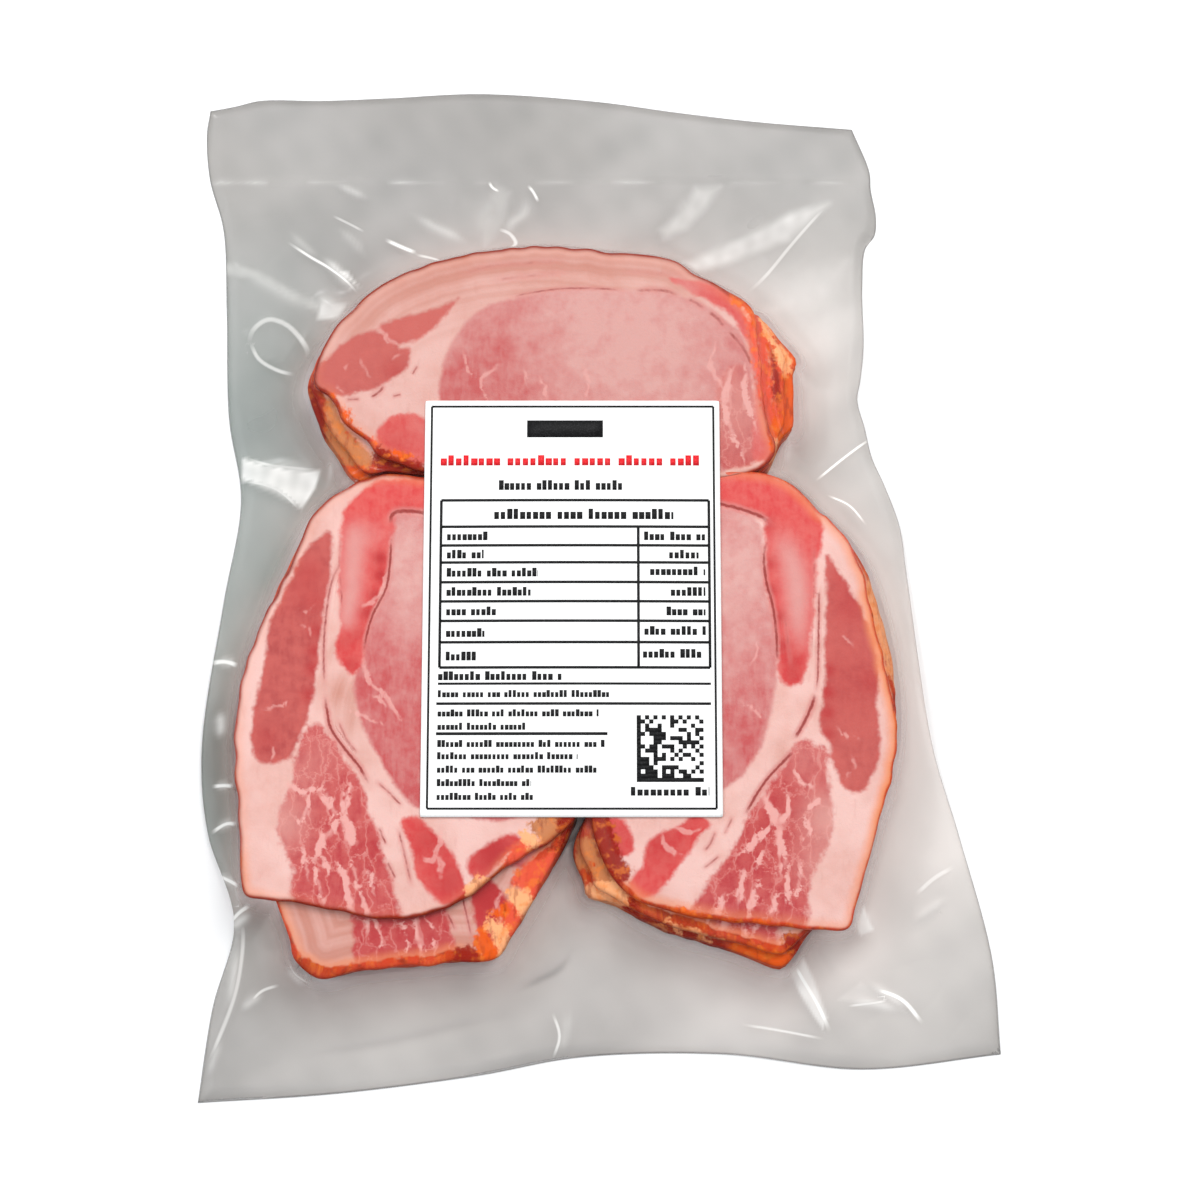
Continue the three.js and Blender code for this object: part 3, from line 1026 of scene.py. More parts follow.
UPPER_MUSCLES = MuscleMap(
    eye=((
        (-39, 101), (-47, 95), (-52, 86), (-55, 76), (-55, 64), (-50, 50), (-30, 42), (0, 40), (42, 42), (52, 50),
        (53, 70), (50, 89), (40, 99), (27, 105), (2, 107), (-12, 107), (-25, 105),
    ),),
    lean=(
        ((-98, 78), (-93, 84), (-87, 89), (-79, 92), (-72, 90), (-69, 86), (-66, 86), (-66, 80), (-73, 74),
         (-80, 71), (-91, 69), (-97, 72)),
        ((-76, 94), (-69, 97), (-60, 99), (-53, 102), (-49, 104), (-54, 97), (-60, 91), (-69, 87), (-75, 90)),
    ),
    belly=(((42, 78), (49, 80), (53, 70), (53, 45), (42, 44), (40, 60)),),
    cap=(
        ((24, 111), (36, 110), (46, 105), (53, 94), (57, 80), (60, 62), (58, 46), (53, 46), (53, 62),
         (52, 80), (49, 92), (41, 101), (30, 107)),
        ((-77, 54), (-72, 61), (-63, 62), (-57, 57), (-56, 48), (-64, 44), (-74, 47)),
    ),
    seams=(
        (((-88, 67.6), (-82, 67.7)), 0.4, 0.6),
        (((-79.5, 68), (-75.5, 70.8), (-74.3, 73.6)), 0.5, 0.7),
        (((-72, 68.5), (-68, 69.6)), 0.4, 0.6),
        (((-65, 76), (-62.8, 80)), 0.4, 0.6),
        (((-52, 111), (-37.4, 115.7), (-25.9, 116.5), (-8, 118)), 0.6, 0.35),
        (((-40, 109.8), (-25.9, 111.7), (-8, 113.8)), 0.6, 0.35),
        (((6, 113.6), (20, 112.8), (34, 112.2)), 0.6, 0.3),
        (((-36, 103), (-26, 105.4), (-14, 107.2), (0, 107.3), (14, 106)), 0.4, 0.6),
        (((11, 106.2), (17, 106.8), (23, 106.4), (29, 104)), 0.6, 0.66),
        (((29.5, 103.8), (33, 102.3), (37, 99.4)), 0.6, 0.62),
        (((37, 99.6), (41, 96.2), (43.5, 92.6)), 0.65, 0.66),
        (((43, 93.2), (46.4, 89.9), (50.8, 83.7), (52.6, 78)), 0.6, 0.64),
        (((52, 80), (54.5, 70), (55.4, 60)), 0.45, 0.55),
    ),
    veins=(
        (((-47, 84.5), (-45.7, 79.5), (-43.6, 75.1)), 0.5),
        (((-34.8, 80), (-38.2, 77.4), (-41.1, 74.7), (-40.4, 71.1), (-37.9, 66)), 0.6),
        (((-25.7, 79), (-25, 73)), 0.45),
        (((-20.5, 75.6), (-18.8, 71.2), (-18.1, 65)), 0.6),
        (((-76.4, 93), (-72.6, 88.9), (-69, 86)), 1.1),
        (((-72.2, 81.5), (-69, 84)), 0.35),
        (((-90.8, 73.1), (-88.2, 69.8)), 0.35),
        (((-89.1, 77.1), (-86.8, 80.1)), 0.35),
        (((-84.1, 83.1), (-82.3, 80.7), (-78.8, 74.2)), 0.35),
        (((-6, 80), (-4, 74), (-5, 66)), 0.45),
        (((40, 88), (38, 80), (42, 72)), 0.65),
        (((45, 78), (43, 66), (46, 54), (49, 46)), 1.0),
        (((50, 80), (50, 70), (53, 58)), 0.9),
    ),
    pale=Tint(0.3, ((0, 98, 30, 0.5), (20, 82, 34, 0.45), (-42, 76, 18, -0.3), (-88, 84, 16, 0.6), (-60, 97, 12, 1.4))),
    faint=Tint(0.0, ((47, 66, 16, 0.4), (-60, 57, 6, 0.2), (30, 108, 6, 0.4))),
    deep_and_shade=Tint(0.0, ((-71, 78, 4, 0.5), (-52, 88, 8, 0.15), (-70, 52, 5, 0.25))),
)

UPPER_RIND = Rind(
    smoke=Tint(0.7, ((-93, 67, 6, 0.9), (-80, 50, 8, 1.0), (-66, 43, 8, 1.6), (50, 104, 10, 0.9), (60, 52, 8, 0.8))),
    dark=Tint(0.5, (
        (-60, 41, 12, 0.5), (-70, 115, 40, 0.3), (-10, 123, 36, 0.3), (-99, 76, 8, 0.5), (56, 84, 24, -0.5),
        (44, 107, 8, 0.3),
    )),
    glow=Tint(0.12, ((52, 96, 10, 0.6), (58, 60, 10, 0.4), (-90, 62, 8, 0.3), (-76, 48, 8, 0.3))),
    warm_and_shade=Tint(0.14, (
        (-62, 116, 22, 0.6), (-30, 122, 20, 0.6), (0, 122, 20, 0.6), (26, 119, 15, 0.5), (-86, 100, 16, 0.45),
    )),
    patches=(
        (ORANGE, ((-95, 69), (-91.5, 69.5), (-89, 64.5), (-86, 63), (-86.5, 60.5), (-89.5, 60), (-92, 64))),
        (ORANGE, ((-89.5, 61), (-86.5, 60.5), (-84, 57.5), (-81.5, 55.5), (-83.5, 53.5), (-87.5, 57))),
        (CORAL, ((-84, 56), (-80.5, 54.5), (-76.5, 52.5), (-78, 50), (-82.5, 52.5))),
        (CRIMSON, ((-81, 53), (-77, 51.5), (-72.5, 50.5), (-70.5, 47), (-73, 44), (-79, 47.5))),
        (CRIMSON, ((-69.5, 48), (-65, 46.5), (-60, 44.5), (-60, 41), (-69, 44))),
        (ORANGE, ((-72, 50), (-68.5, 49.5), (-64.5, 47.5), (-66, 46.5), (-70.5, 47.5))),
        (ORANGE, ((45, 107), (50, 104.5), (54.5, 97.5), (55.5, 92), (53.5, 93), (50.5, 99), (44.5, 104.5))),
        (CORAL, ((50, 100), (53.5, 94), (55, 84), (57, 70), (56.5, 62), (54.5, 70), (53.5, 82), (51, 92))),
        (ORANGE, ((59, 56), (61.5, 53), (60, 48.5), (58, 50))),
    ),
)

UPPER_UNDER_RIND = Rind(
    smoke=Tint(1.6, ((-96, 58, 14, 3.4), (-75, 44, 14, 3.0), (66, 62, 10, 5.0), (66, 84, 12, 4.0))),
    dark=Tint(0.1, ((-100, 64, 8, 0.5), (-64, 41, 12, 0.7), (60, 76, 14, -0.1))),
    glow=Tint(0.6),
    patches=(
        (CORAL, (
            (54, 98), (57, 97.5), (58.5, 91), (58, 84), (59, 77), (59.5, 70), (60.5, 62), (60, 56), (55, 60), (54, 80),
        )),
        (CRIMSON, ((59, 88), (60.5, 84.5), (62, 78), (63, 72), (62, 68), (58.5, 68.5), (58, 72.5), (59.5, 78))),
        (PEACH, (
            (55, 99), (57.5, 98), (60.5, 92), (64, 87.5), (67, 82.5), (66.5, 79), (62.5, 78), (61, 84), (58.5, 89),
        )),
        (ORANGE, ((57, 99.5), (61.5, 94), (65.5, 89.5), (70, 83), (67.5, 79.5), (65.5, 84), (61.5, 90), (58, 94.5))),
        (ORANGE, ((63, 78), (69, 79), (69, 59), (65, 56), (63.5, 60), (63.5, 70))),
        (ORANGE, ((58.5, 61), (61.5, 63), (64.5, 58.5), (61.5, 52), (58.5, 54))),
        (PEACH, ((58.5, 54.5), (62, 53), (60.5, 47), (57, 46.5), (57, 51))),
        (CRIMSON, ((-104, 72), (-99, 75), (-97, 70), (-95, 66), (-95, 59), (-97, 54), (-101, 63))),
        (TAN, ((-95, 67), (-92, 68), (-90, 62), (-89, 55), (-91, 47), (-96, 54), (-95, 59))),
        (TAN, ((-90, 60), (-86.5, 57), (-82, 52), (-78, 48), (-80, 44), (-88, 46), (-91, 50))),
        (ORANGE, ((-88, 44), (-84, 45.5), (-80.5, 43), (-82, 38), (-87, 38.5))),
        (CRIMSON, ((-78, 49), (-70, 47), (-60, 44), (-60, 39), (-76, 42))),
    ),
)

LEFT_MUSCLES = MuscleMap(
    eye=((
        (-71, 27), (-71, 10), (-75, -4), (-80, -14), (-80, -22), (-83, -31), (-81, -41), (-76, -53), (-69, -65),
        (-61, -73), (-45, -76), (-32, -77), (-15, -70), (-9, -40), (-10, 10), (-30, 27), (-60, 27),
    ),),
    lean=((
        (-92, 21), (-98, 17), (-104, 8), (-108, -1), (-112, -12), (-113, -25), (-116, -37), (-117, -47), (-115, -56),
        (-111, -58), (-104, -56), (-101, -50), (-98, -41), (-96, -33), (-95, -21), (-94, -11), (-92, 2), (-91, 14),
    ),),
    belly=((
        (-96, -45), (-91, -47), (-86, -56), (-79, -66), (-77, -74), (-72, -88), (-68, -100), (-66, -112), (-80, -112),
        (-99, -112), (-103, -92), (-108, -79), (-103, -64), (-101, -51),
    ),),
    cap=(
        ((-87, 25), (-84, 33), (-76, 39), (-60, 40), (-45, 38), (-33, 34), (-38, 26), (-60, 28), (-71, 28), (-79, 28)),
        ((-88, -11), (-89, -20), (-84, -28), (-81, -25), (-78, -11), (-74, 1), (-72, 10), (-71, 31),
         (-86, 31), (-88.5, 8)),
        ((-66, -77), (-61, -76), (-55, -81), (-49, -88), (-45, -97), (-43, -103), (-50, -105), (-57, -101),
         (-61, -94), (-63, -86)),
        ((-44, -93), (-42, -88), (-36, -84), (-27, -82), (-24, -85), (-32, -90), (-40, -97)),
    ),
    seams=(
        (((-87.6, 18), (-88.6, 9.9), (-91, 4), (-93, -10.9), (-93.2, -23.8), (-92.4, -37)), 0.45, 0.72),
        (((-93, -32), (-91.8, -40), (-90.4, -46), (-86.2, -52.3), (-80.2, -59.6), (-76, -67.5)), 0.55, 1.05),
        (((-56, 27), (-64, 28.2), (-70.5, 27.6), (-71.4, 22)), 0.8, 0.9),
        (((-71, 26), (-71.4, 9.9), (-72.7, 1.2), (-76.9, -7.5), (-79.5, -18), (-80, -26)), 0.5, 0.9),
        (((-88, 24), (-88.6, 10), (-87.6, -2), (-88.6, -12)), 0.4, 0.45),
        (((-88.6, -42), (-84.8, -50.1), (-80, -56)), 0.4, 0.6),
        (((-76, -63), (-71.3, -67), (-65, -73.4)), 0.4, 0.6),
        (((-74, -78.6), (-70.8, -86)), 0.4, 0.65),
        (((-67.8, -77.5), (-65.3, -87.1), (-62, -101)), 0.4, 0.65),
        (((-71, -90), (-67.6, -97)), 0.4, 0.65),
    ),
    veins=(
        (((-104.6, -65.1), (-100.4, -66.7), (-96.8, -67.2), (-92.6, -65.6)), 0.9),
        (((-92.3, -66), (-90.8, -70.5), (-88.3, -74.5), (-86.8, -76.9)), 1.6),
        (((-83.9, -65.1), (-84.6, -68), (-85.2, -71.6), (-87.2, -74.5)), 1.2),
        (((-85.2, -73.4), (-84.3, -78.1), (-82.7, -82.4), (-79.8, -86.7)), 2.0),
        (((-88.1, -74.8), (-88.7, -79.5), (-92.2, -83.5), (-93.9, -87.5), (-95.1, -89.4)), 1.6),
        (((-97.1, -68), (-97.9, -73.4), (-99.5, -77), (-102.1, -79.3)), 0.8),
        (((-93.3, -87.5), (-91.2, -91.4), (-90, -94.8)), 0.9),
        (((-86.9, -90), (-84.8, -96), (-83.6, -102.6), (-82, -107)), 1.0),
        (((-82.6, -90.3), (-81.2, -95), (-79.8, -100.7)), 0.9),
        (((-77.1, -92.1), (-76, -97.1), (-74.1, -104)), 0.9),
        (((-95.6, -90.3), (-94.3, -95), (-91.5, -104)), 0.9),
        (((-99.2, -86.4), (-97.7, -92.8), (-96.4, -98.6)), 0.9),
        (((-79.7, -99), (-78.3, -104), (-77, -109)), 0.9),
        (((-52.6, -80), (-53.9, -86.6), (-56.1, -90.6), (-61, -88)), 0.8),
        (((-53.9, -87.4), (-52.5, -91.9), (-53, -96)), 0.9),
        (((-28.8, -86.6), (-30.4, -88.9), (-33.4, -90.8)), 0.9),
        (((-104.7, -6.3), (-100.3, -6.9), (-96.5, -3.9)), 0.36),
        (((-114, -40), (-108.3, -38.6), (-100.9, -36.6)), 0.38),
        (((-101.7, -10.3), (-97.8, -13.3), (-99.3, -16.4)), 0.34),
        (((-110.8, -58), (-109.1, -53.8), (-108.3, -49)), 0.42),
        (((-80.5, -4.7), (-76.9, -2.9), (-73.8, 1.5), (-71, 9.8)), 0.8),
        (((-80, -23), (-77.8, -30.3), (-73.4, -34.1), (-67, -43.5)), 1.0),
        (((-77.8, -34.7), (-74.1, -36.2), (-71.1, -39.9)), 0.8),
        (((-83.5, -40.6), (-79.1, -42.1), (-73.2, -45)), 0.8),
    ),
    pale=Tint(0.1, ((-66, 14, 20, 0.75), (-64, -8, 14, 0.4), (-102, -30, 16, 0.15))),
    faint=Tint(0.0, (
        (-106, -78, 9, 0.5), (-101, -62, 8, 0.2), (-92, -54, 8, 0.15), (-83.6, 22, 4.4, 0.3), (-83.8, 18, 4.4, 0.34),
        (-83.8, 14, 4.4, 0.36), (-84, 10, 4.4, 0.36), (-84, 6, 4.2, 0.36), (-84.2, 2, 4.2, 0.38), (-84.6, -2, 4, 0.4),
        (-85.2, -6, 3.8, 0.42), (-85.6, -10, 3.4, 0.4), (-77, 20, 5, 0.25),
    )),
    deep_and_shade=Tint(0.0, (
        (-97, -26, 2.6, 0.7), (-96.6, -20, 2.6, 0.7), (-96.4, -13, 2.6, 0.6), (-97.8, -35, 3, 0.6),
        (-98.6, 7.5, 5, 0.35), (-96.5, -3, 4, 0.3), (-74.6, 12, 2.6, 0.9), (-74.4, 6, 2.6, 0.9), (-76, -1, 2.6, 0.8),
        (-78.4, -7, 3, 0.8), (-86.2, -17, 3.4, 0.35), (-83.7, -25, 3.4, 0.5), (-81.5, -14, 3, 0.4), (-66, 28, 3, 0.4),
        (-112, -50, 5, 0.3), (-56, -84, 8, 0.55), (-35, -88, 9, 0.95), (-76, -86, 6, 0.5), (-50, -98, 6, 0.6),
        (-102, 0, 8, 0.25),
    )),
)

LEFT_RIND = Rind(
    smoke=Tint(0.7, (
        (-27, -87, 7, 1.6), (-41, -100, 4, 1.6), (-14, -78, 8, 2.4), (-60, 41, 20, 0.3), (-60, -109, 20, 0.3),
    )),
    dark=Tint(0.45, ((-112, 5, 30, 0.3), (-60, -110, 20, 0.1), (-20, -80, 6, 0.2), (-28, -88, 7, -0.3))),
    glow=Tint(0.12, ((-118, -96, 12, 0.5), (-28, -88, 8, 0.5), (-60, 41, 20, 0.3), (-120, -60, 20, 0.2))),
    warm_and_shade=Tint(0.0, (
        (-100, 18, 10, 0.35), (-80, 40, 12, 0.2), (-90, -20, 5, 0.4), (-87, -34, 7, 0.85), (-84, -45, 6, 0.5),
        (-80, -56, 5, 0.3), (-70, -70, 5, 0.2),
    )),
    patches=(
        (CORAL, ((-31.5, -90.5), (-29, -85.5), (-25.5, -83.5), (-22, -87), (-25, -90), (-31, -94.5))),
        (CRIMSON, ((-30, -92.5), (-26, -89.5), (-22, -87), (-23.5, -85.5), (-27.5, -88.5))),
        (PEACH, ((-27, -82), (-24.5, -80), (-20, -84.5), (-22, -87))),
        (TAN, ((-24, -79), (-18, -75), (-8, -74), (-9, -80), (-17, -84), (-21, -83))),
        (CRIMSON, ((-14, -76), (-8, -74), (-8, -82), (-13, -82))),
        (PEACH, ((-45, -101), (-42.5, -96.5), (-38, -95.5), (-36.5, -98.5), (-39, -102), (-42.5, -103.5))),
        (ORANGE, ((-41, -99.5), (-39, -97.5), (-37, -98.5), (-39, -101))),
    ),
)

LEFT_UNDER_RIND = Rind(
    smoke=Tint(0.8, (
        (-95, -128, 9, 3.6), (-72, -129, 16, 2.4), (-48, -125, 12, 3.4), (-29, -108, 10, 4.0), (-20, -92, 10, 6.0),
    )),
    dark=Tint(0.08, ((-97, -127, 8, 0.5), (-80, -129, 8, 0.2), (-46, -121, 6, 0.3), (-24, -112, 5, 0.2))),
    glow=Tint(0.6),
    # Painted shade over the lower slices, under the top one.
    warm_and_shade=Tint(0.8),
    patches=(
        (CORAL, ((-30, -98), (-26, -93), (-20, -89), (-14, -88), (-18, -98), (-22, -104), (-27, -100))),
        (CRIMSON, ((-25, -100), (-23.5, -94.5), (-20.5, -93), (-19.5, -100), (-21.5, -103.5))),
        (CRIMSON, ((-13, -80), (-6, -72), (-5, -84), (-12, -92))),
        (ORANGE, ((-36, -108), (-33, -104.5), (-31, -103.5), (-30, -106.5), (-33.5, -109.5))),
        (CORAL, ((-33, -107), (-31, -103), (-27.5, -103.5), (-23.5, -109.5), (-26, -113.5), (-31, -116), (-33, -112))),
        (PEACH, ((-31.5, -103), (-29.5, -99), (-26, -99.5), (-20.5, -104.5), (-22, -108), (-25, -110), (-28, -106))),
        (PEACH, ((-38, -110.5), (-34.5, -109.5), (-30, -114.5), (-29.5, -120), (-33.5, -122), (-35, -117))),
        (ORANGE, ((-42, -115), (-39, -112.5), (-36, -116), (-32.5, -121), (-34.5, -124.5), (-39, -121.5))),
        (CRIMSON, ((-48, -120), (-43.5, -118), (-39.5, -121.5), (-37.5, -124.5), (-43, -127), (-49, -127))),
    ),
)

RIGHT_MUSCLES = MuscleMap(
    eye=((
        (54, 24), (56, 3), (59, -11), (60, -20), (59, -32), (56, -46), (51, -58), (41, -67), (25, -71), (10, -69),
        (5, -40), (6, 10), (24, 29), (41, 30),
    ),),
    lean=((
        (77, 13), (83, 4), (88, -4), (93, -16), (94, -27), (93, -39), (94, -51), (93, -58), (88, -67), (83, -67),
        (79, -61), (77, -51), (74, -47), (76, -27), (76, -11), (77, 4),
    ),),
    belly=((
        (67, -50), (62, -57), (56, -66), (52, -72), (47, -80), (43, -88), (36, -98), (28, -110), (45, -114), (67, -114),
        (70, -98), (74, -88), (78, -80), (78, -73), (76, -60), (75, -53),
    ),),
    cap=(
        ((38, 43), (51, 43), (61, 40), (70, 34), (75, 26), (76, 18), (72, 10), (66, 16), (60, 22), (56, 26),
         (41, 30), (30, 32)),
        ((59, 32), (56, 10), (56, 3), (58, -6), (60, -18), (60, -26), (63, -32), (67, -31), (70, -24), (72, -11),
         (73, 6), (74, 26)),
        ((26, -79), (32, -75), (37, -78), (33, -83), (27, -91), (21, -99), (14, -103), (9, -99), (14, -92),
         (16, -84), (21, -81)),
        ((2, -76), (8, -77), (11, -87), (6, -89)),
    ),
    seams=(
        (((74.2, 6), (74.2, -4), (73.8, -16), (73.4, -28), (72.4, -38)), 0.45, 0.75),
        (((73, -33), (71, -39), (68.6, -44.2), (64.4, -51.2)), 0.6, 1.05),
        (((67, -51.6), (62, -56.8), (55.6, -63.6), (50.4, -71.6), (47, -78)), 0.55, 1.05),
        (((28, 33), (41, 30.8), (50, 28.4), (56.5, 25.4), (60, 21)), 0.7, 0.95),
        (((59.6, 23), (56, 15), (56.4, 4.2), (58.4, -4), (59.6, -14), (60, -25), (61.4, -30)), 0.55, 0.9),
        (((72.7, 24), (72.8, 8), (72.6, -4), (72, -16), (68, -28)), 0.5, 0.45),
        (((62.4, -6), (63.4, -16), (64.6, -27)), 0.4, 0.4),
        (((39, -79.6), (36.5, -85.1), (33.8, -88)), 0.4, 0.65),
        (((40.6, -88), (37.2, -90.8), (33.6, -93.6)), 0.4, 0.6),
        (((44.6, -75), (41, -82.6)), 0.4, 0.55),
    ),
    veins=(
        (((55.4, -68.8), (57.2, -73.9), (58.4, -78.6)), 1.7),
        (((62, -67.7), (63.2, -73.5), (59.7, -78)), 1.0),
        (((64.8, -60.5), (67.7, -64.1), (70.7, -65.7)), 0.8),
        (((68.8, -73.7), (71.3, -71.4), (74.4, -69.8)), 0.8),
        (((58.4, -79), (53.8, -81.6), (50.2, -85.9), (46.4, -89)), 1.4),
        (((59.5, -79.5), (60.4, -86.5), (61.7, -91.5), (59.2, -93.8)), 1.6),
        (((68.2, -75.9), (69.9, -80.8), (68.1, -82.9)), 0.9),
        (((47.4, -91.3), (47.6, -95.8), (46.4, -100.5), (45.3, -108)), 1.0),
        (((53.1, -97), (50.9, -103), (49.1, -109)), 1.0),
        (((58.9, -100.9), (57.4, -107), (56.5, -111)), 0.9),
        (((61.8, -93.3), (62.4, -100.1), (60.6, -107)), 1.0),
        (((42, -99.4), (39.6, -105.8), (38.1, -110)), 0.9),
        (((66.3, -91.4), (66, -97.3), (64.4, -104)), 0.9),
        (((54.1, -87.2), (52.7, -90.8), (51.5, -94.4)), 0.8),
        (((20.5, -80), (21.3, -84.4), (23.1, -86.7), (27, -88.4)), 0.9),
        (((25, -79), (30, -81.3), (35, -78.4)), 0.8),
        (((78, -17), (82, -15), (86, -19)), 0.36),
        (((79, -46), (84, -49), (88, -50)), 0.42),
        (((82, -63), (85, -59), (84, -55)), 0.38),
        (((56, -46), (52, -40), (47, -37)), 0.45),
        (((50, -26), (53, -20), (52, -12)), 0.38),
    ),
    pale=Tint(0.4, ((48, 8, 24, 0.5), (48, -50, 16, -0.25), (84, -48, 12, 0.2))),
    faint=Tint(0.0, (
        (62.5, 18, 4.6, 0.25), (64, 14, 4.6, 0.34), (65.4, 10, 4.8, 0.36), (66.4, 6, 4.8, 0.36), (66.8, 2, 4.8, 0.38),
        (67, -2, 4.6, 0.38), (67, -6, 4.4, 0.38), (67, -10, 4.2, 0.34), (67.4, -14, 3.8, 0.3), (68, -18, 3.4, 0.2),
        (76, -76, 9, 0.6), (72, -92, 8, 0.35), (68, -56, 8, 0.2),
    )),
    deep_and_shade=Tint(0.0, (
        (77.1, -26.5, 2.4, 0.6), (76.6, -34, 2.4, 0.7), (76.4, -41, 2.6, 0.7), (76.4, -48, 2.6, 0.6), (85, -4, 8, 0.5),
        (82, 6, 4, 0.4), (92, -30, 4, 0.3), (56.8, 24, 3, 0.6), (57.6, 10, 2.6, 0.6), (57.4, 1, 2.4, 0.9),
        (60.4, -8.3, 2.6, 0.8), (61.4, -18, 3, 0.7), (65, -24, 4, 0.5), (65, -29, 3, 0.4), (20, -84, 9, 0.5),
        (6, -82, 6, 0.3), (56, -80, 14, 0.45), (64, -70, 10, 0.3), (30, -78, 6, 0.2), (86, -30, 14, 0.3),
    )),
)

RIGHT_RIND = Rind(
    smoke=Tint(0.8, ((8, -98, 6, 1.0), (34, -110, 14, 1.2), (60, -112, 12, 0.6), (92, -84, 16, -0.4))),
    dark=Tint(0.1, ((2, -83, 9, 0.6), (8, -97, 5, 0.3), (30, -110, 12, 0.25), (94, -70, 24, -0.1))),
    warm_and_shade=Tint(0.0, (
        (86, 14, 8, 0.25), (17, -105, 7, 0.6), (10, -99, 5, 0.4), (75, -18, 3, 0.35), (70, -38, 4, 0.4),
        (62, -54, 5, 0.35), (52, -69, 5, 0.25),
    )),
    glow=Tint(0.55, ((96, -20, 30, 0.4), (94, -70, 22, 0.4), (60, -112, 20, -0.2), (30, 42, 20, -0.3))),
    patches=(
        (CRIMSON, ((-5, -74), (2.6, -74), (5, -82), (8.4, -90), (10, -96), (6, -99), (1, -92), (-4, -82))),
        (ORANGE, (
            (24.5, -107.5), (27, -105.5), (30, -107.5), (38, -110), (48, -111), (48, -113.5), (32, -112.5),
            (24.5, -110.5),
        )),
        (ORANGE, ((50, -110.5), (53, -109.5), (57, -111), (57, -113), (51, -113.5))),
    ),
)

RIGHT_UNDER_RIND = Rind(
    smoke=Tint(1.4, (
        (0, -86, 12, 4.0), (0, -101, 10, 5.0), (24, -113, 12, 4.0), (40, -119, 8, 2.0), (55, -123, 9, 2.4),
        (94, 0, 14, -0.8),
    )),
    dark=Tint(0.2, ((0, -80, 9, 0.6), (20, -112, 12, 0.3), (71, -113, 5, 0.3), (40, -118, 8, 0.2))),
    glow=Tint(0.6),
    # Painted shade over the lower slices, under the top one.
    warm_and_shade=Tint(0.4),
    patches=(
        (TAN, ((-12, -84), (-7, -82), (-2, -84), (-1.5, -90), (-6, -93), (-10.5, -93.5))),
        (CRIMSON, ((-12, -84), (-9, -82.5), (-8, -88), (-9, -93), (-12, -92))),
        (TAN, ((-2, -88), (2, -90), (6, -97), (6.5, -100), (-1, -99), (-2.5, -94))),
        (PEACH, ((-7, -98.5), (-3.5, -97.5), (8, -97.5), (10, -102), (8, -105.5), (1, -106), (-5, -103))),
        (TAN, ((-2, -99.5), (6.5, -99.5), (7.5, -102.5), (1, -104), (-2, -102.5))),
        (CRIMSON, ((8, -103), (11.5, -103), (12.5, -107), (17, -109.5), (24, -112), (24, -116), (14, -114), (6, -109))),
        (ORANGE, ((-4, -103), (1, -104.5), (8, -105), (8, -108), (0, -108))),
        (CRIMSON, ((25, -112), (32, -113.5), (41, -117), (43, -121), (33, -119), (24, -116.5))),
        (ORANGE, ((43, -117.5), (50, -118.5), (57, -120), (62, -120), (64, -128), (54, -127), (43, -122))),
        (CRIMSON, ((61.5, -115), (65.5, -115), (67.5, -119), (65, -122), (61.5, -120.5))),
        (PEACH, ((22, -110), (24.5, -110.5), (27, -113), (28, -117), (26, -116), (25, -113.5))),
        (PEACH, ((29, -113), (33, -113.5), (36.5, -115.5), (40, -117), (36, -117), (32, -115))),
        (PEACH, ((14, -111), (18, -111.5), (22, -113.5), (17, -113))),
        (PEACH, ((92, 6), (95, 0), (97.4, -8), (99.6, -20), (100.6, -32), (97, -26), (93, -10), (90, 2))),
    ),
)

UPPER_STACK = LoinStack(
    name="upper",
    centre=(-15, 82),
    top=(
        (-99, 78), (-90, 96), (-69, 113), (-26, 123), (4, 121), (25, 118), (34, 112.6), (44, 107.6), (50, 103.6),
        (54, 98), (55, 88), (56, 78), (57, 64), (59, 56), (60.6, 52.4), (59.4, 47.4), (55, 42.6), (0, 38), (-61, 42),
        (-70, 45), (-76.6, 48), (-80, 52.6), (-85, 56.4), (-89.4, 60.4), (-91.4, 65), (-94, 69), (-98, 72),
    ),
    below=(
        (-102, 74), (-91, 94), (-69, 111), (-26, 121), (4, 119), (28, 115), (45, 105), (52.6, 100), (57, 98.4),
        (62, 92), (69, 83), (67.8, 79), (67.8, 70), (67.4, 59), (64, 55.6), (61.6, 51), (59, 45), (54, 40.6), (0, 36),
        (-61, 40), (-76, 41), (-83, 39.4), (-87, 42), (-91.6, 49), (-95.6, 55), (-98.8, 62),
    ),
    muscles=UPPER_MUSCLES,
    rind=UPPER_RIND,
    under_rind=UPPER_UNDER_RIND,
    lay=(8, -5),
    shares=(0.0, 0.7, 1.0, 0.95, 1.0, 0.92, 0.98, 0.95),
    streak_turn=0.1,
    seed=11,
    dull=0.16,
)

LEFT_STACK = LoinStack(
    name="left",
    centre=(-65, -38),
    top=(
        (-60, 41), (-77, 41), (-96, 30), (-106, 9), (-119, -21), (-123, -48), (-120.5, -80), (-119.4, -96),
        (-117.4, -102), (-111, -103.6), (-98, -105), (-70, -110), (-48, -105), (-30, -92), (-8, -76), (-6, -20),
        (-8, 18), (-28, 39),
    ),
    below=(
        (-60, 40), (-78, 39), (-97, 28), (-108, 7), (-119, -23), (-122, -50), (-119, -82), (-108, -105), (-103.4, -117),
        (-101.8, -123.6), (-93, -129.6), (-80, -127.6), (-50, -124.6), (-33.4, -122.4), (-30, -117), (-18.6, -98),
        (-7, -74), (-5, -20), (-8, 17), (-28, 38),
    ),
    muscles=LEFT_MUSCLES,
    rind=LEFT_RIND,
    under_rind=LEFT_UNDER_RIND,
    lay=(20, -17),
    shares=(0.0, 1.0, 0.96, 0.98, 0.93, 0.97, 0.94, 0.96),
    streak_turn=-0.28,
    seed=31,
)

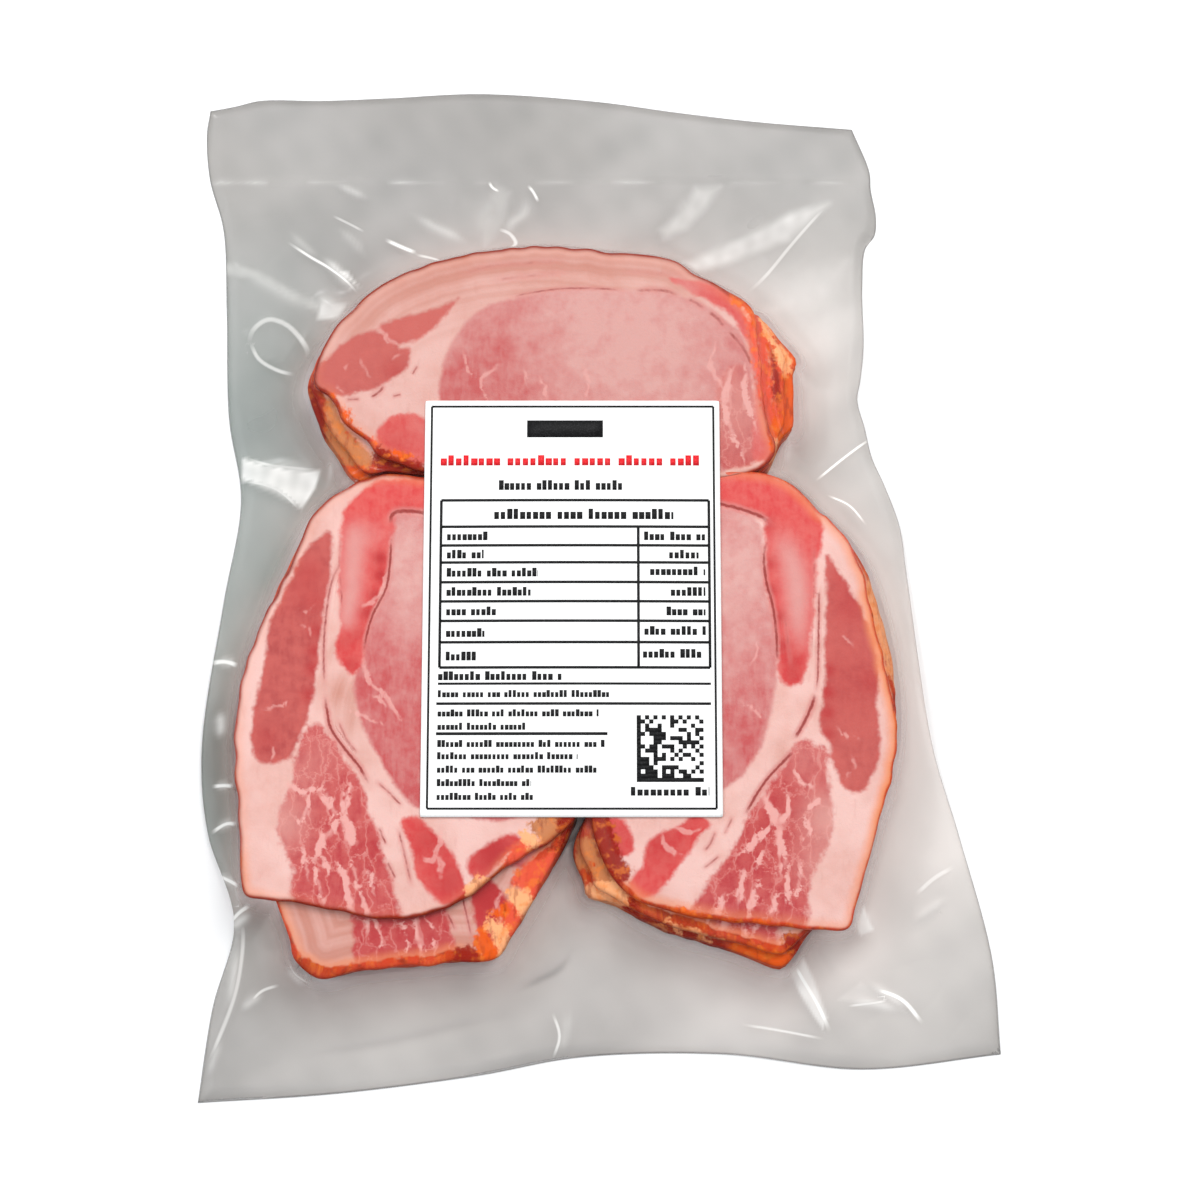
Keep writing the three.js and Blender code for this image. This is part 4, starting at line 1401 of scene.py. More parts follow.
RIGHT_STACK = LoinStack(
    name="right",
    centre=(45, -35),
    top=(
        (41, 43), (60, 41), (71, 33.4), (75.4, 28), (78, 26.4), (87, 14), (94, -14), (100, -50), (92.6, -80),
        (85, -106), (83, -112), (79.6, -113.4), (58, -112), (25, -108), (7, -100), (-1, -86), (-3, -76), (-1, -20),
        (3, 20), (20, 39),
    ),
    below=(
        (41, 42), (60, 40), (76, 28), (90, 12), (97.4, -10), (101, -34), (99.6, -56), (92, -80), (76, -108),
        (69, -115.6), (63.6, -124), (60.6, -126), (44, -120.6), (20.5, -113.6), (4, -105), (-4.6, -102), (-6, -97),
        (-8.6, -92), (-9.6, -87), (-8, -81), (-5, -74), (-2, -20), (2, 19), (20, 38),
    ),
    muscles=RIGHT_MUSCLES,
    rind=RIGHT_RIND,
    under_rind=RIGHT_UNDER_RIND,
    lay=(-10, -9),
    shares=(0.0, 0.7, 1.0, 0.8, 1.0, 0.9, 1.0, 0.95),
    streak_turn=0.3,
    seed=53,
)

STACKS = (UPPER_STACK, LEFT_STACK, RIGHT_STACK)


# ---- the film ----


@dataclass(frozen=True)
class Fold:
    """One fold of the film along a line.

    The film stands `height` higher on the line and falls off over `width` to
    its left and `width * right` to its right. A tint above 0 turns the crest
    milky white, partly stress whitening and partly a painted highlight, and one
    below 0 darkens it as painted shade in the crease.
    """

    line: Points
    height: float
    width: float
    tint: float = 0.0
    right: float = 1.0
    flare: float = 0.0
    crest: float = 1.7

    def shape(self, x: Array, y: Array) -> Array:
        """The fold's profile from 0 to 1, fading out at both ends.

        It falls by the same share for each width from a narrow rounded crest,
        and the width grows by the flare towards the line's start.

        Args:
            x, y: the plan points.

        Returns:
            The profile at each point.
        """
        line = spline(self.line, False, 6)
        widest = self.width * max(1.0, self.right) * (1 + self.flare)
        total = np.zeros(x.shape)
        close = near(x, y, line, 6 * widest)
        distance, share, left = line_distance(x[close], y[close], line)
        ends = smooth(share, 0.0, 0.4) * smooth(1 - share, 0.0, 0.4)
        width = self.width * np.where(left, 1.0, self.right) * (1 + self.flare * (1 - share))
        width = width * (0.4 + 0.6 * ends)
        away = np.hypot(distance, self.crest) - self.crest
        total[close] = np.exp(-away / width) * ends
        return total


FOLDS = (
    # upper left
    Fold(((-139, 126), (-121, 117), (-111, 111), (-104, 106), (-97, 98)), 0.78, 1.3, 0.5, 2.6),
    Fold(((-104, 109), (-97, 108), (-91, 102)), 0.96, 2.2, 0.6),
    Fold(((-102, 127), (-94, 121), (-86, 110)), 0.6, 1.0, 0.9, 1.6),
    Fold(((-125, 92), (-122, 99), (-117, 102), (-110, 98), (-103, 88)), 0.5, 1.6, 0.1, 1.6),
    # waist on the left
    Fold(((-128, 51), (-119, 48), (-109, 49), (-96, 46)), 1.08, 1.4, 0.5, 2.2),
    Fold(((-127, 44), (-113, 40), (-102, 32)), 0.9, 2.0, 0.9, 0.6),
    Fold(((-90, 66), (-92, 54), (-94, 42), (-98, 36)), 0.72, 0.9, 0.7),
    # head, below the seal
    Fold(((-97, 154), (-89, 150), (-81, 146)), 0.42, 0.9, 0.5),
    Fold(((-113, 137), (-106, 130), (-98, 123)), 0.42, 0.8, 0.35, 2.0),
    Fold(((-96, 138), (-89, 132), (-82, 123)), 0.36, 0.8, 0.3, 2.0),
    Fold(((-71, 144), (-60, 137), (-52, 133), (-44, 127)), 0.6, 1.1, 0.55, 2.0),
    Fold(((-38, 155), (-39, 145), (-42, 139), (-41, 126)), 0.84, 3.0, 0.3, 1.6),
    Fold(((-28, 152), (-27, 142), (-32, 137), (-33, 128)), 0.6, 1.1, 0.5, 1.6),
    Fold(((33, 153), (29, 142), (20, 129)), 0.9, 3.4, 0.3, 0.4, 0.8),
    Fold(((84, 150), (70, 141), (53, 132), (36, 124)), 1.2, 4.4, 0.4, 0.35, 0.9),
    # right side
    Fold(((66, 60), (65, 52), (63, 45)), 0.54, 1.2, 0.5),
    Fold(((78, 112), (82, 96), (80, 78)), 0.54, 5.0, 0.1),
    Fold(((72, 86), (70, 80), (71, 72)), 0.48, 1.0, 0.5),
    Fold(((104, -111), (113, -105), (120, -101)), 0.54, 0.9, 0.4),
    # lower right
    Fold(((62, -118), (66, -128), (71, -137), (76, -146)), 1.32, 2.6, 0.5, 0.6),
    Fold(((79, -136), (92, -137), (106, -141)), 0.72, 0.9, 0.7, 1.8),
    Fold(((87, -129), (98, -135), (107, -141)), 0.6, 0.9, 0.7),
    Fold(((86, -104), (90, -110), (85, -116)), 0.96, 2.2, 0.6),
    # lower middle
    Fold(((-6, -98), (2, -106), (10, -116)), 0.78, 3.2, 0.2),
    # A negative tint: painted shade along a dark crease.
    Fold(((-8, -116), (-13, -125), (-22, -130), (-31, -135)), -0.48, 0.8, -0.6),
    Fold(((-10, -136), (-12, -150), (-15, -157)), 0.48, 1.0, 0.4, 2.0),
    # lower left
    Fold(((-128, -114), (-122, -110), (-115, -106)), 0.84, 1.2, 0.8),
    Fold(((-122, -112), (-123, -122), (-124, -134), (-125, -146)), 0.54, 1.0, 0.5, 1.8),
    Fold(((-122, -141), (-118, -137), (-112, -133)), 0.54, 1.0, 0.5),
    Fold(((-133, -165), (-130, -156), (-126, -146)), 0.48, 1.0, 0.4),
    # A negative tint: painted shade along a dark crease.
    Fold(((-112, -156), (-95, -154), (-71, -150), (-39, -143), (-20, -141)), -0.42, 1.6, -0.25),
    Fold(((-105, -122), (-102, -128), (-96, -132)), 0.54, 1.0, 0.9),
    # left margin, small marks across it
    Fold(((-134, -21), (-129, -21), (-124, -23)), 0.48, 1.2, 0.6),
    Fold(((-132, -36), (-130, -43), (-131, -50)), 0.54, 2.0, 0.7),
    Fold(((-133, -64), (-128, -64), (-124, -65)), 0.42, 0.8, 0.6),
    Fold(((-132, -80), (-127, -77), (-122, -78)), 0.42, 1.1, 0.6),
    Fold(((-132, -93), (-126, -96), (-121, -99)), 0.42, 0.8, 0.6),
)

# Thin bright creases of the film, drawn as painted highlight lines: points, half width and strength.
CREASE_HIGHLIGHTS: Traces = (
    # upper left
    (((-124.5, 92), (-123.5, 98), (-118, 102.2), (-111, 100), (-104, 91.6), (-102.4, 86)), 1.1, 0.45),
    (((-124.5, 95), (-121, 88), (-114.7, 83.8), (-107, 81)), 0.8, 0.5),
    (((-112.4, 131.7), (-104, 125.9), (-96.9, 121.5), (-89.9, 115.8), (-85.6, 110.7)), 0.6, 0.75),
    (((-96, 141), (-89, 137.4), (-84, 134.6)), 0.5, 0.4),
    (((-77, 132), (-70, 128.6), (-65, 126.4)), 0.8, 0.8),
    (((-66, 126), (-59, 123.4), (-54, 119.6)), 0.6, 0.5),
    # waist on the left
    (((-127, 52.4), (-116.4, 49), (-108.3, 47.8), (-97, 46)), 0.8, 0.5),
    (((-127, 44), (-118, 42), (-112, 39.4), (-103.6, 32)), 0.8, 0.6),
    # head
    (((-40, 154), (-38.6, 151.6), (-36, 150)), 0.6, 0.7),
    (((-26, 152.6), (-24, 150), (-22, 146)), 0.6, 0.7),
    (((-37, 136), (-32, 133.4), (-30, 129), (-33, 125)), 0.8, 0.5),
    # upper right
    (((83.6, 147.4), (76.4, 139.4), (67.4, 128.8), (59, 118.4), (52, 111)), 0.7, 0.42),
    # right side
    (((96, 59.6), (85.7, 51.7), (75, 42.6)), 0.5, 0.95),
    (((79, 38), (87.2, 34.4), (93, 27.4)), 0.45, 0.8),
    (((107, -101), (114, -95), (121, -91)), 0.8, 0.5),
    # lower right
    (((63, -122), (68, -129), (73, -137), (77.6, -147)), 0.9, 1.0),
    (((47, -144), (60, -146), (76, -149)), 0.5, 0.6),
    (((83, -138), (92, -137), (98, -136)), 0.5, 0.6),
    (((92, -132), (102, -136), (109, -144)), 0.8, 1.0),
    # lower left
    (((-128, -113), (-122, -107), (-116, -104)), 0.8, 0.7),
    (((-121, -106), (-121, -120), (-123, -134), (-128, -148), (-133, -160)), 0.8, 0.45),
    (((-118, -137), (-114, -133), (-108, -131)), 0.6, 0.5),
    (((-104, -121), (-102, -127), (-96, -131)), 0.6, 1.0),
    (((-16, -140), (-13.6, -148), (-16, -156)), 0.6, 0.6),
    (((-135, -21), (-129, -21), (-124, -23)), 1.0, 0.7),
    (((-133, -64), (-128, -64), (-123, -65)), 0.8, 0.7),
    (((-133, -80), (-127, -77), (-121, -78)), 0.8, 0.7),
    (((-133, -93), (-126, -96), (-120, -99)), 0.8, 0.7),
)

# Facets of the film that catch the light, drawn as painted highlights: how bright each one is painted, and how soft its
# edge is.
PAINTED_HIGHLIGHTS: Traces = (
    ((
        (-126, 52), (-116.4, 49), (-108.3, 47.6), (-97.5, 46), (-99.4, 39.9), (-104, 32.6), (-112.2, 39.4), (-126, 44),
    ), 1.2, 0.8),
    (((-99.4, 108.4), (-90, 106.8), (-92, 101), (-100.4, 102)), 0.85, 1.2),
    ((
        (-136, 124.4), (-122, 120.4), (-109, 112.6), (-99, 108), (-99, 104.6), (-110, 108.4), (-122, 116.2),
        (-135, 120),
    ), 0.5, 1.6),
    (((-95, 120.4), (-90, 120), (-85.4, 113), (-88.4, 116)), 1.2, 0.9),
    ((
        (82, 145.6), (68, 142), (56.6, 134.8), (41, 128), (30, 121.6), (34, 118.4), (48, 124.2), (67.6, 131.6),
        (76, 139.6),
    ), 0.75, 2.4),
    (((43, 151.6), (34.4, 151.4), (30, 143.4), (21.6, 135.4), (23, 131.6), (31.4, 136), (38.6, 144.8)), 0.6, 2.4),
    (((66, 114), (76, 120), (88, 124), (86, 112), (74, 106), (60, 104)), 0.3, 5.0),
    (((61, -121), (66, -118), (72, -129), (76.6, -142), (75, -145.6), (69, -137), (64, -128)), 1.1, 0.8),
    (((85, -112), (88.5, -104.5), (92.6, -112.6), (88, -114.6)), 1.2, 0.8),
    (((-38, 153), (-32, 150), (-34, 138), (-41, 128), (-43, 138)), 0.3, 2.0),
    (((80, -136), (92, -137), (105, -141), (98, -135), (88, -130)), 0.3, 0.8),
    (((-127, 98), (-120, 103), (-112, 101), (-107, 95), (-112, 87), (-120, 88)), 0.12, 0.8),
)


@dataclass(frozen=True)
class Film:
    """The clear bag: a sheet that drapes over the stacks, and one below that lies flat under them."""

    columns: int = 250
    rows: int = 330
    column_steps: tuple[tuple[float, ...], tuple[float, ...]] = ((0, 0.2, 0.62, 1), (0, 0.17, 0.72, 1))
    row_steps: tuple[tuple[float, ...], tuple[float, ...]] = ((0, 0.24, 0.7, 1), (0, 0.18, 0.8, 1))
    cling: float = 0.16
    stand_off: float = 0.4
    hug_share: float = 0.55
    hug_reach: float = 2.8
    drape_reach: float = 8.0
    sealed: float = 0.3
    rim: float = 0.05
    wave_height: float = 1.5
    seal_line: float = 153.5
    clearest: float = 0.003
    milkiness: float = 0.6
    thinned: float = 0.55
    label_reach: float = 1.5
    lowest: float = 0.03
    rim_step: int = 6
    underside_shares: tuple[float, ...] = (0.985, 0.96, 0.92, 0.86, 0.76, 0.6, 0.4, 0.18)
    rise_from: tuple[float, float] = (-4.0, -2.0)

    def sheet_plan(self) -> tuple[Array, Array]:
        """Plan coordinates of the upper sheet's grid, closer set in the margins.

        A Coons patch: the two blends of opposite edges, less the blend of the
        four corners, so that the grid's rim follows the bag's edges.

        Returns:
            The vertices' x and y, row by row.
        """
        across = np.interp(np.linspace(0, 1, self.columns), *self.column_steps)
        upwards = np.interp(np.linspace(0, 1, self.rows), *self.row_steps)
        u, v = across[None, :, None], upwards[:, None, None]
        bottom, top = (along(spline(edge, False), across)[None] for edge in (BAG_BOTTOM, BAG_TOP))
        left, right = (along(spline(edge, False), upwards)[:, None] for edge in (BAG_LEFT, BAG_RIGHT))
        corners = (
            (1 - u) * (1 - v) * bottom[:, :1] + u * (1 - v) * bottom[:, -1:]
            + (1 - u) * v * top[:, :1] + u * v * top[:, -1:]
        )
        patch = (1 - v) * bottom + v * top + (1 - u) * left + u * right - corners
        return patch[..., 0].ravel(), patch[..., 1].ravel()

    def contents(self, x: Array, y: Array) -> tuple[Array, Array]:
        """Height of the film over and beside the stacks, and the distance to the nearest one.

        Over a stack the film is at the top slice's height, and over the ledge
        of a lower slice one slice less. Outside it falls fast at first, then
        slowly. Between near stacks the falls join, so the film bridges the gap.

        Args:
            x, y: the plan points.

        Returns:
            The heights and the distances.
        """
        gap = 1.0
        nearest = np.full(x.shape, np.inf)
        ceiling = STACK_TOP + self.cling
        for stack in STACKS:
            top_inset = inset(x, y, spline(stack.top, True, 8))
            both = np.maximum(top_inset, inset(x, y, spline(stack.below, True, 8)))
            ledge = smooth(-top_inset, 0.6, 3.6)
            rounding = 0.5 * (1 - smooth(top_inset, -0.3, 1.1)) * (1 - ledge)
            height = ceiling - SLICE_PITCH * ledge - rounding
            out = np.maximum(-both - self.stand_off, 0)
            fall = self.hug_share * np.exp(-out / self.hug_reach)
            fall = fall + (1 - self.hug_share) * np.exp(-out / self.drape_reach)
            gap = gap * (1 - np.minimum(height * fall / ceiling, 1))
            nearest = np.minimum(nearest, -both)
        return ceiling * (1 - gap), np.maximum(nearest, 0)

    def margin(self, x: Array, y: Array, distance: Array, edge: Array) -> Array:
        """Height of the margin: its lip, broad waves, small crinkles and the line of the head seal.

        Args:
            x, y: the plan points.
            distance: how far they are from the stacks.
            edge: how far they are inside the bag's edge.

        Returns:
            The heights.
        """
        free = smooth(distance, 5, 26) * smooth(edge, 0.0, 5.0)
        sealed_head = smooth(y, self.seal_line - 2, self.seal_line + 3)
        loose = free * (1 - 0.7 * sealed_head)
        waves = self.wave_height * (0.5 + 0.5 * ripple(x, y, 75.0, 3)) * loose
        crinkles = 0.2 * np.abs(ripple(x, y, 24.0, 5)) * free * (1 - 0.7 * sealed_head)
        seal = 0.14 * np.exp(-np.abs(y - self.seal_line) / 0.9) * (0.6 + 0.4 * ripple(x, 0 * y, 22.0, 9))
        lip = self.sealed * smooth(edge, 0.0, 3.0)
        return self.rim + lip + np.maximum(waves + crinkles, 0) + seal * free

    def tension(self, x: Array, y: Array, distance: Array) -> Array:
        """Fine wrinkles that run outwards from each stack and die away in the margin.

        Args:
            x, y: the plan points.
            distance: how far they are from the stacks.

        Returns:
            The wrinkles' heights.
        """
        total = np.zeros(x.shape)
        reach = np.exp(-distance / 12.0) * smooth(distance, 0.5, 5.0)
        for number, stack in enumerate(STACKS):
            turn = np.arctan2(y - stack.centre[1], x - stack.centre[0])
            ring_x, ring_y = 80 * np.cos(turn), 80 * np.sin(turn)
            wave = 1 - np.abs(ripple(ring_x, ring_y, 15.0, 70 + number))
            close = np.exp(-np.maximum(-inset(x, y, spline(stack.below, True, 4)), 0) / 9.0)
            total += 0.6 * np.maximum(wave - 0.45, 0) * close
        return total * reach

    def surface(self, x: Array, y: Array, edge: Array) -> tuple[Array, Fields]:
        """Shape and look of the upper sheet.

        Args:
            x, y: the plan points.
            edge: how far they are inside the bag's edge.

        Returns:
            The heights, and the values that the film's finish reads.
        """
        height, distance = self.contents(x, y)
        away = smooth(distance, 0.5, 4.0)
        folds, haze_and_highlight, crease_shade = (np.zeros(x.shape) for _ in range(3))
        for fold in FOLDS:
            shape = fold.shape(x, y)
            folds += fold.height * shape
            # Milky crests are partly stress whitening and partly painted highlight; a negative tint paints shade along
            # the crease.
            haze_and_highlight = np.maximum(haze_and_highlight, fold.tint * shape**2)
            crease_shade = np.maximum(crease_shade, -fold.tint * shape**2)
        # Painted highlights: the facets that catch the light are drawn as milky white patches.
        for outline, amount, softness in PAINTED_HIGHLIGHTS:
            lit = smooth(inset(x, y, np.asarray(outline, float)), -softness, softness)
            haze_and_highlight = np.maximum(haze_and_highlight, amount * lit * (0.85 + 0.15 * ripple(x, y, 7.0, 31)))
        # The creases' thin bright lines are painted highlights.
        line, offset = traced(x, y, CREASE_HIGHLIGHTS)
        margin = self.margin(x, y, distance, edge)
        z = height + margin * away + (folds + self.tension(x, y, distance)) * away
        z = z + 0.03 * ripple(x, y, 9.0, 15) * (1 - away)
        beside = np.abs(x - LABEL_CENTRE[0]) - LABEL_SIZE[0] / 2
        beyond = np.abs(y - LABEL_CENTRE[1]) - LABEL_SIZE[1] / 2
        covered = np.maximum(beside, beyond) < self.label_reach
        z = np.where(covered, np.minimum(z, STACK_TOP + self.cling + 0.02), z)
        z = np.maximum(z, self.rim)

        # The two spots at the lower left make the film more opaque, so its darker body shows more: painted shade.
        milky = self.milkiness + Tint(0.0, ((-128, -50, 34, 0.14), (-122, -120, 26, 0.1))).at(x, y)
        veil = self.clearest + milky * smooth(distance, 0.0, 1.5)
        veil = veil + 0.05 * ripple(x, y, 60.0, 21) * smooth(distance, 2, 15)
        veil = veil * (1 - self.thinned * np.exp(-(((distance - 1.5) / 3.0) ** 2)))
        # Painted light: the film beside the stacks, except at the far left, is made lighter where its steep fall would
        # be shaded.
        lifted = (0.3 * np.exp(-distance / 5.0) + 0.4 * np.exp(-distance / 1.5)) * smooth(x, -112, -70)
        # Painted highlights: bright dashes along the head seal.
        seal_highlight = 0.4 * np.exp(-np.abs(y - self.seal_line) / 0.8) * np.maximum(ripple(x, 0 * y, 16.0, 23), 0)
        return z, {
            "veil": np.clip(veil, 0, 1),
            "haze_and_highlight": np.clip(np.maximum(0.6 * haze_and_highlight, seal_highlight) * away, 0, 1),
            "line": line * away,
            "offset": offset,
            # The tone carries painted light and shade: the spots of tone(), painted shade on dark creases and painted
            # light beside the stacks.
            "tone": np.clip(self.tone(x, y) - 0.5 * crease_shade * away + lifted, 0, 1),
            "cool": self.cool(x, y),
            # Painted reflection of the meat's pink, fading away from the stacks.
            "meat_bounce_share": 0.42 * np.exp(-distance / 7.0),
        }

    def tone(self, x: Array, y: Array) -> Array:
        """How light the milky film is: about 0 at the dark left, to 1 at the nearly white right. Its spots paint shade
        on the left side and light on the right and in the gaps between the stacks.
        """
        tint = Tint(0.34, (
            (-125, -60, 40, -0.34), (-110, 70, 30, -0.2), (-60, 170, 60, -0.08), (80, 165, 40, -0.06),
            (-110, 10, 11, -0.3), (-70, -150, 50, 0.14), (84, -118, 15, 0.44), (100, 10, 50, 0.34), (76, 100, 30, 0.36),
            (112, -70, 45, 0.75), (105, -145, 35, 0.2), (50, -136, 32, 0.28), (0, -122, 26, 0.14), (-3, -100, 14, 0.5),
            (-64, -134, 24, 0.18), (-22, -116, 13, 0.18), (36, -128, 18, 0.2), (74, 70, 13, 0.22),
            (-84, 113, 14, -0.22), (-104, 88, 14, -0.1),
        ))
        return tint.at(x, y) + 0.04 * ripple(x, y, 45.0, 27) + 0.03 * ripple(x, y, 14.0, 28)

    def cool(self, x: Array, y: Array) -> Array:
        """Share of the grey-green tint that the left side has."""
        return Tint(0.05, (
            (-130, 0, 60, 0.4), (-125, 80, 45, 0.3), (-128, -85, 30, 0.4), (-109, 10, 10, 0.45), (30, -140, 60, -0.05),
        )).at(x, y)

    def build(self, plan: Plan, material: Material) -> Piece:
        """The bag as one closed skin: the upper grid, and rings from its rim inwards below.

        Args:
            plan: where the plan lies.
            material: the film.

        Returns:
            The bag.
        """
        x, y = self.sheet_plan()
        number = np.arange(self.rows * self.columns).reshape(self.rows, self.columns)
        rim = np.concatenate([number[0, :-1], number[:-1, -1], number[-1, :0:-1], number[:0:-1, 0]])
        polygon = np.stack([x[rim], y[rim]], axis=1)
        edge = np.maximum(inset(x, y, polygon[::self.rim_step]), 0)
        edge[rim] = 0
        z, values = self.surface(x, y, edge)
        upper = grid_faces(number).reshape(-1, 4)

        shares = np.asarray(self.underside_shares)[:, None]
        middle_x, middle_y = self.rise_from
        low_x = (middle_x + shares * (x[rim] - middle_x)).ravel()
        low_y = (middle_y + shares * (y[rim] - middle_y)).ravel()
        low_edge = np.maximum(inset(low_x, low_y, polygon[::self.rim_step]), 0)
        over, low_values = self.surface(low_x, low_y, low_edge)
        lifted = smooth(self.contents(low_x, low_y)[1], 6, 26)
        low_z = np.maximum((over - self.sealed - 0.1) * lifted, self.lowest)

        count = len(rim)
        rings = np.vstack([rim[None], x.size + np.arange(shares.size * count).reshape(shares.size, count)])
        pole = x.size + shares.size * count
        turned = np.roll(rings, -1, axis=1)
        lower = np.stack([rings[:-1], rings[1:], turned[1:], turned[:-1]], axis=-1).reshape(-1, 4)
        tip = np.stack([np.full(count, pole), turned[-1], rings[-1]], axis=-1)

        low_values["veil"] = 0.3 * low_values["veil"]
        low_values["haze_and_highlight"] = 0.2 * low_values["haze_and_highlight"]
        fields = {
            name: np.concatenate([above, low_values[name], low_values[name][-1:]]) for name, above in values.items()
        }
        vertices = np.vstack([
            plan.place(x, y, z),
            plan.place(low_x, low_y, low_z),
            plan.place(np.array([middle_x]), np.array([middle_y]), np.array([self.lowest])),
        ])
        return make_piece("film_bag", vertices, np.vstack([upper, lower]), tip, fields, material)


# ---- the label ----


@dataclass(frozen=True)
class Label:
    """The paper label and its print: a thin frame, a ruled table, rows of word bars and a block code.

    Places on it are in millimetres from its middle.
    """

    gap: float = 0.3
    thickness: float = 0.3
    bow: float = 0.9
    corner: float = 0.5
    ink: float = 0.05
    bar_step: float = 6.0
    columns: int = 81
    rows: int = 115

    def height(self, x: Array, y: Array) -> Array:
        """Height of the label's face: half a wave each way."""
        lift = self.bow * np.cos(math.pi * x / LABEL_SIZE[0]) * np.cos(math.pi * y / LABEL_SIZE[1])
        return STACK_TOP + self.gap + self.thickness + lift

    def layer(self, plan: Plan, x: Array, y: Array, z: Array) -> Array:
        """Vertices at places on the label, at those heights."""
        return plan.place(x.ravel() + LABEL_CENTRE[0], y.ravel() + LABEL_CENTRE[1], z.ravel())

    def sheet(self, plan: Plan, material: Material) -> Piece:
        """The paper: a bowed slab whose corners are drawn in along a quarter round.

        Args:
            plan: where the plan lies.
            material: the paper.

        Returns:
            The sheet.
        """
        half_x, half_y = LABEL_SIZE[0] / 2, LABEL_SIZE[1] / 2
        x, y = np.meshgrid(np.linspace(-half_x, half_x, self.columns), np.linspace(-half_y, half_y, self.rows))
        corner_x = np.maximum(np.abs(x) - (half_x - self.corner), 0)
        corner_y = np.maximum(np.abs(y) - (half_y - self.corner), 0)
        reach = np.hypot(corner_x, corner_y)
        pull = np.where(reach > self.corner, self.corner / np.maximum(reach, 1e-9), 1.0)
        x = np.sign(x) * (np.abs(x) - corner_x * (1 - pull))
        y = np.sign(y) * (np.abs(y) - corner_y * (1 - pull))
        top = self.height(x, y)
        vertices = np.vstack([self.layer(plan, x, y, top), self.layer(plan, x, y, top - self.thickness)])
        quads = slab_faces(self.rows, self.columns)
        return make_piece("label_paper", vertices, quads, np.zeros((0, 3), int), {}, material)

    def bars(self, name: str, plan: Plan, boxes: Boxes, material: Material) -> Piece:
        """Printed bars as one mesh of thin slabs that follow the paper.

        Args:
            name: the piece's name.
            plan: where the plan lies.
            boxes: each bar's left, right, bottom and top.
            material: the ink.

        Returns:
            The print.
        """
        all_vertices, all_quads, offset = [], [], 0
        for left, right, bottom, top in boxes:
            columns = 2 + int((right - left) / self.bar_step)
            rows = 2 + int((top - bottom) / self.bar_step)
            x, y = np.meshgrid(np.linspace(left, right, columns), np.linspace(bottom, top, rows))
            face = self.height(x, y)
            all_vertices.append(self.layer(plan, x, y, face + self.ink))
            all_vertices.append(self.layer(plan, x, y, face - self.ink))
            all_quads.append(slab_faces(rows, columns) + offset)
            offset += 2 * rows * columns
        no_triangles = np.zeros((0, 3), int)
        return make_piece(name, np.vstack(all_vertices), np.vstack(all_quads), no_triangles, {}, material)

    def frame_lines(self) -> Boxes:
        """The thin frame, the table's rules and the rules below it.

        Returns:
            Each line's left, right, bottom and top.
        """
        half, line = 0.36, 0.46
        left, right, bottom, top = -48.2, 48.4, -68.7, 69.4
        lines = [
            (left, right, top - half, top + half), (left, right, bottom - half, bottom + half),
            (left - half, left + half, bottom, top), (right - half, right + half, bottom, top),
        ]
        table_left, table_right, table_top, table_bottom = -44.6, 46.6, 36.4, -21.2
        rows = (36.4, 27.2, 20.7, 14.8, 8.0, 1.4, -5.3, -12.6, -21.2)
        lines += [(table_left, table_right, y - line, y + line) for y in rows]
        lines += [(x - line, x + line, table_bottom, table_top) for x in (table_left, table_right)]
        lines += [(22.5 - line, 22.5 + line, table_bottom, rows[1])]
        lines += [(-45.0, 46.8, -27.1, -26.3), (-45.5, 46.8, -33.9, -33.0), (-45.5, 12.0, -44.1, -43.1)]
        return lines

    def words(self, left: float, right: float, y: float, tall: float, seed: int, letter: float = 1.5) -> Boxes:
        """A row of words as runs of short upright dashes.

        Args:
            left, right: where the row starts and ends.
            y: the height of its middle.
            tall: how tall its tallest dashes are.
            seed: what the dashes are drawn from.
            letter: from one dash to the next.

        Returns:
            Each dash's left, right, bottom and top.
        """
        rng = np.random.default_rng(seed)
        dashes, x = [], left
        word_left = rng.integers(4, 10)
        while x < right:
            wide = letter * rng.uniform(0.66, 0.86)
            high = tall * (1.0 if rng.random() < 0.28 else 0.7)
            dashes.append((x, min(x + wide, right), y - tall / 2, y - tall / 2 + high))
            x += letter
            word_left -= 1
            if word_left == 0:
                x += letter * 0.8
                word_left = rng.integers(3, 10)
        return dashes

    def black_print(self) -> Boxes:
        """Everything that is printed black.

        Returns:
            Each bar's left, right, bottom and top.
        """
        bars = self.frame_lines()
        bars += [(-15.5, 10.5, 58.5, 64.5)]
        bars += self.words(-25.0, 17.0, 41.7, 3.4, 1, 1.9)
        bars += self.words(-26.5, 34.5, 31.6, 3.6, 2, 2.2)
        names = (
            (24.0, -28.0), (17.7, -30.0), (11.4, -11.5), (4.8, -14.0), (-1.9, -25.5), (-9.3, -29.5), (-17.3, -32.0),
        )
        numbers = ((24.0, 24.5), (17.7, 33.0), (11.9, 26.5), (4.8, 33.5), (-1.9, 32.0), (-8.6, 24.5), (-16.4, 24.0))
        for seed, (y, right) in enumerate(names):
            bars += self.words(-42.5, right, y, 3.0, 10 + seed, 1.75)
        for seed, (y, left) in enumerate(numbers):
            bars += self.words(left, 45.2 if seed != 1 else 43.0, y, 3.0, 30 + seed, 1.85)
        bars += self.words(-45.0, -3.5, -24.0, 3.0, 50, 1.8)
        rows = (
            (-30.1, 12.5), (-36.6, 9.0), (-41.1, -15.5), (-46.9, 11.0), (-51.0, 2.0), (-55.5, 8.5), (-60.0, -13.5),
            (-64.6, -12.5),
        )
        for seed, (y, right) in enumerate(rows):
            bars += self.words(-45.0, right, y, 2.4, 60 + seed, 1.45)
        bars += self.words(19.8, 46.0, -62.9, 2.9, 80, 2.2)
        return bars + self.block_code()

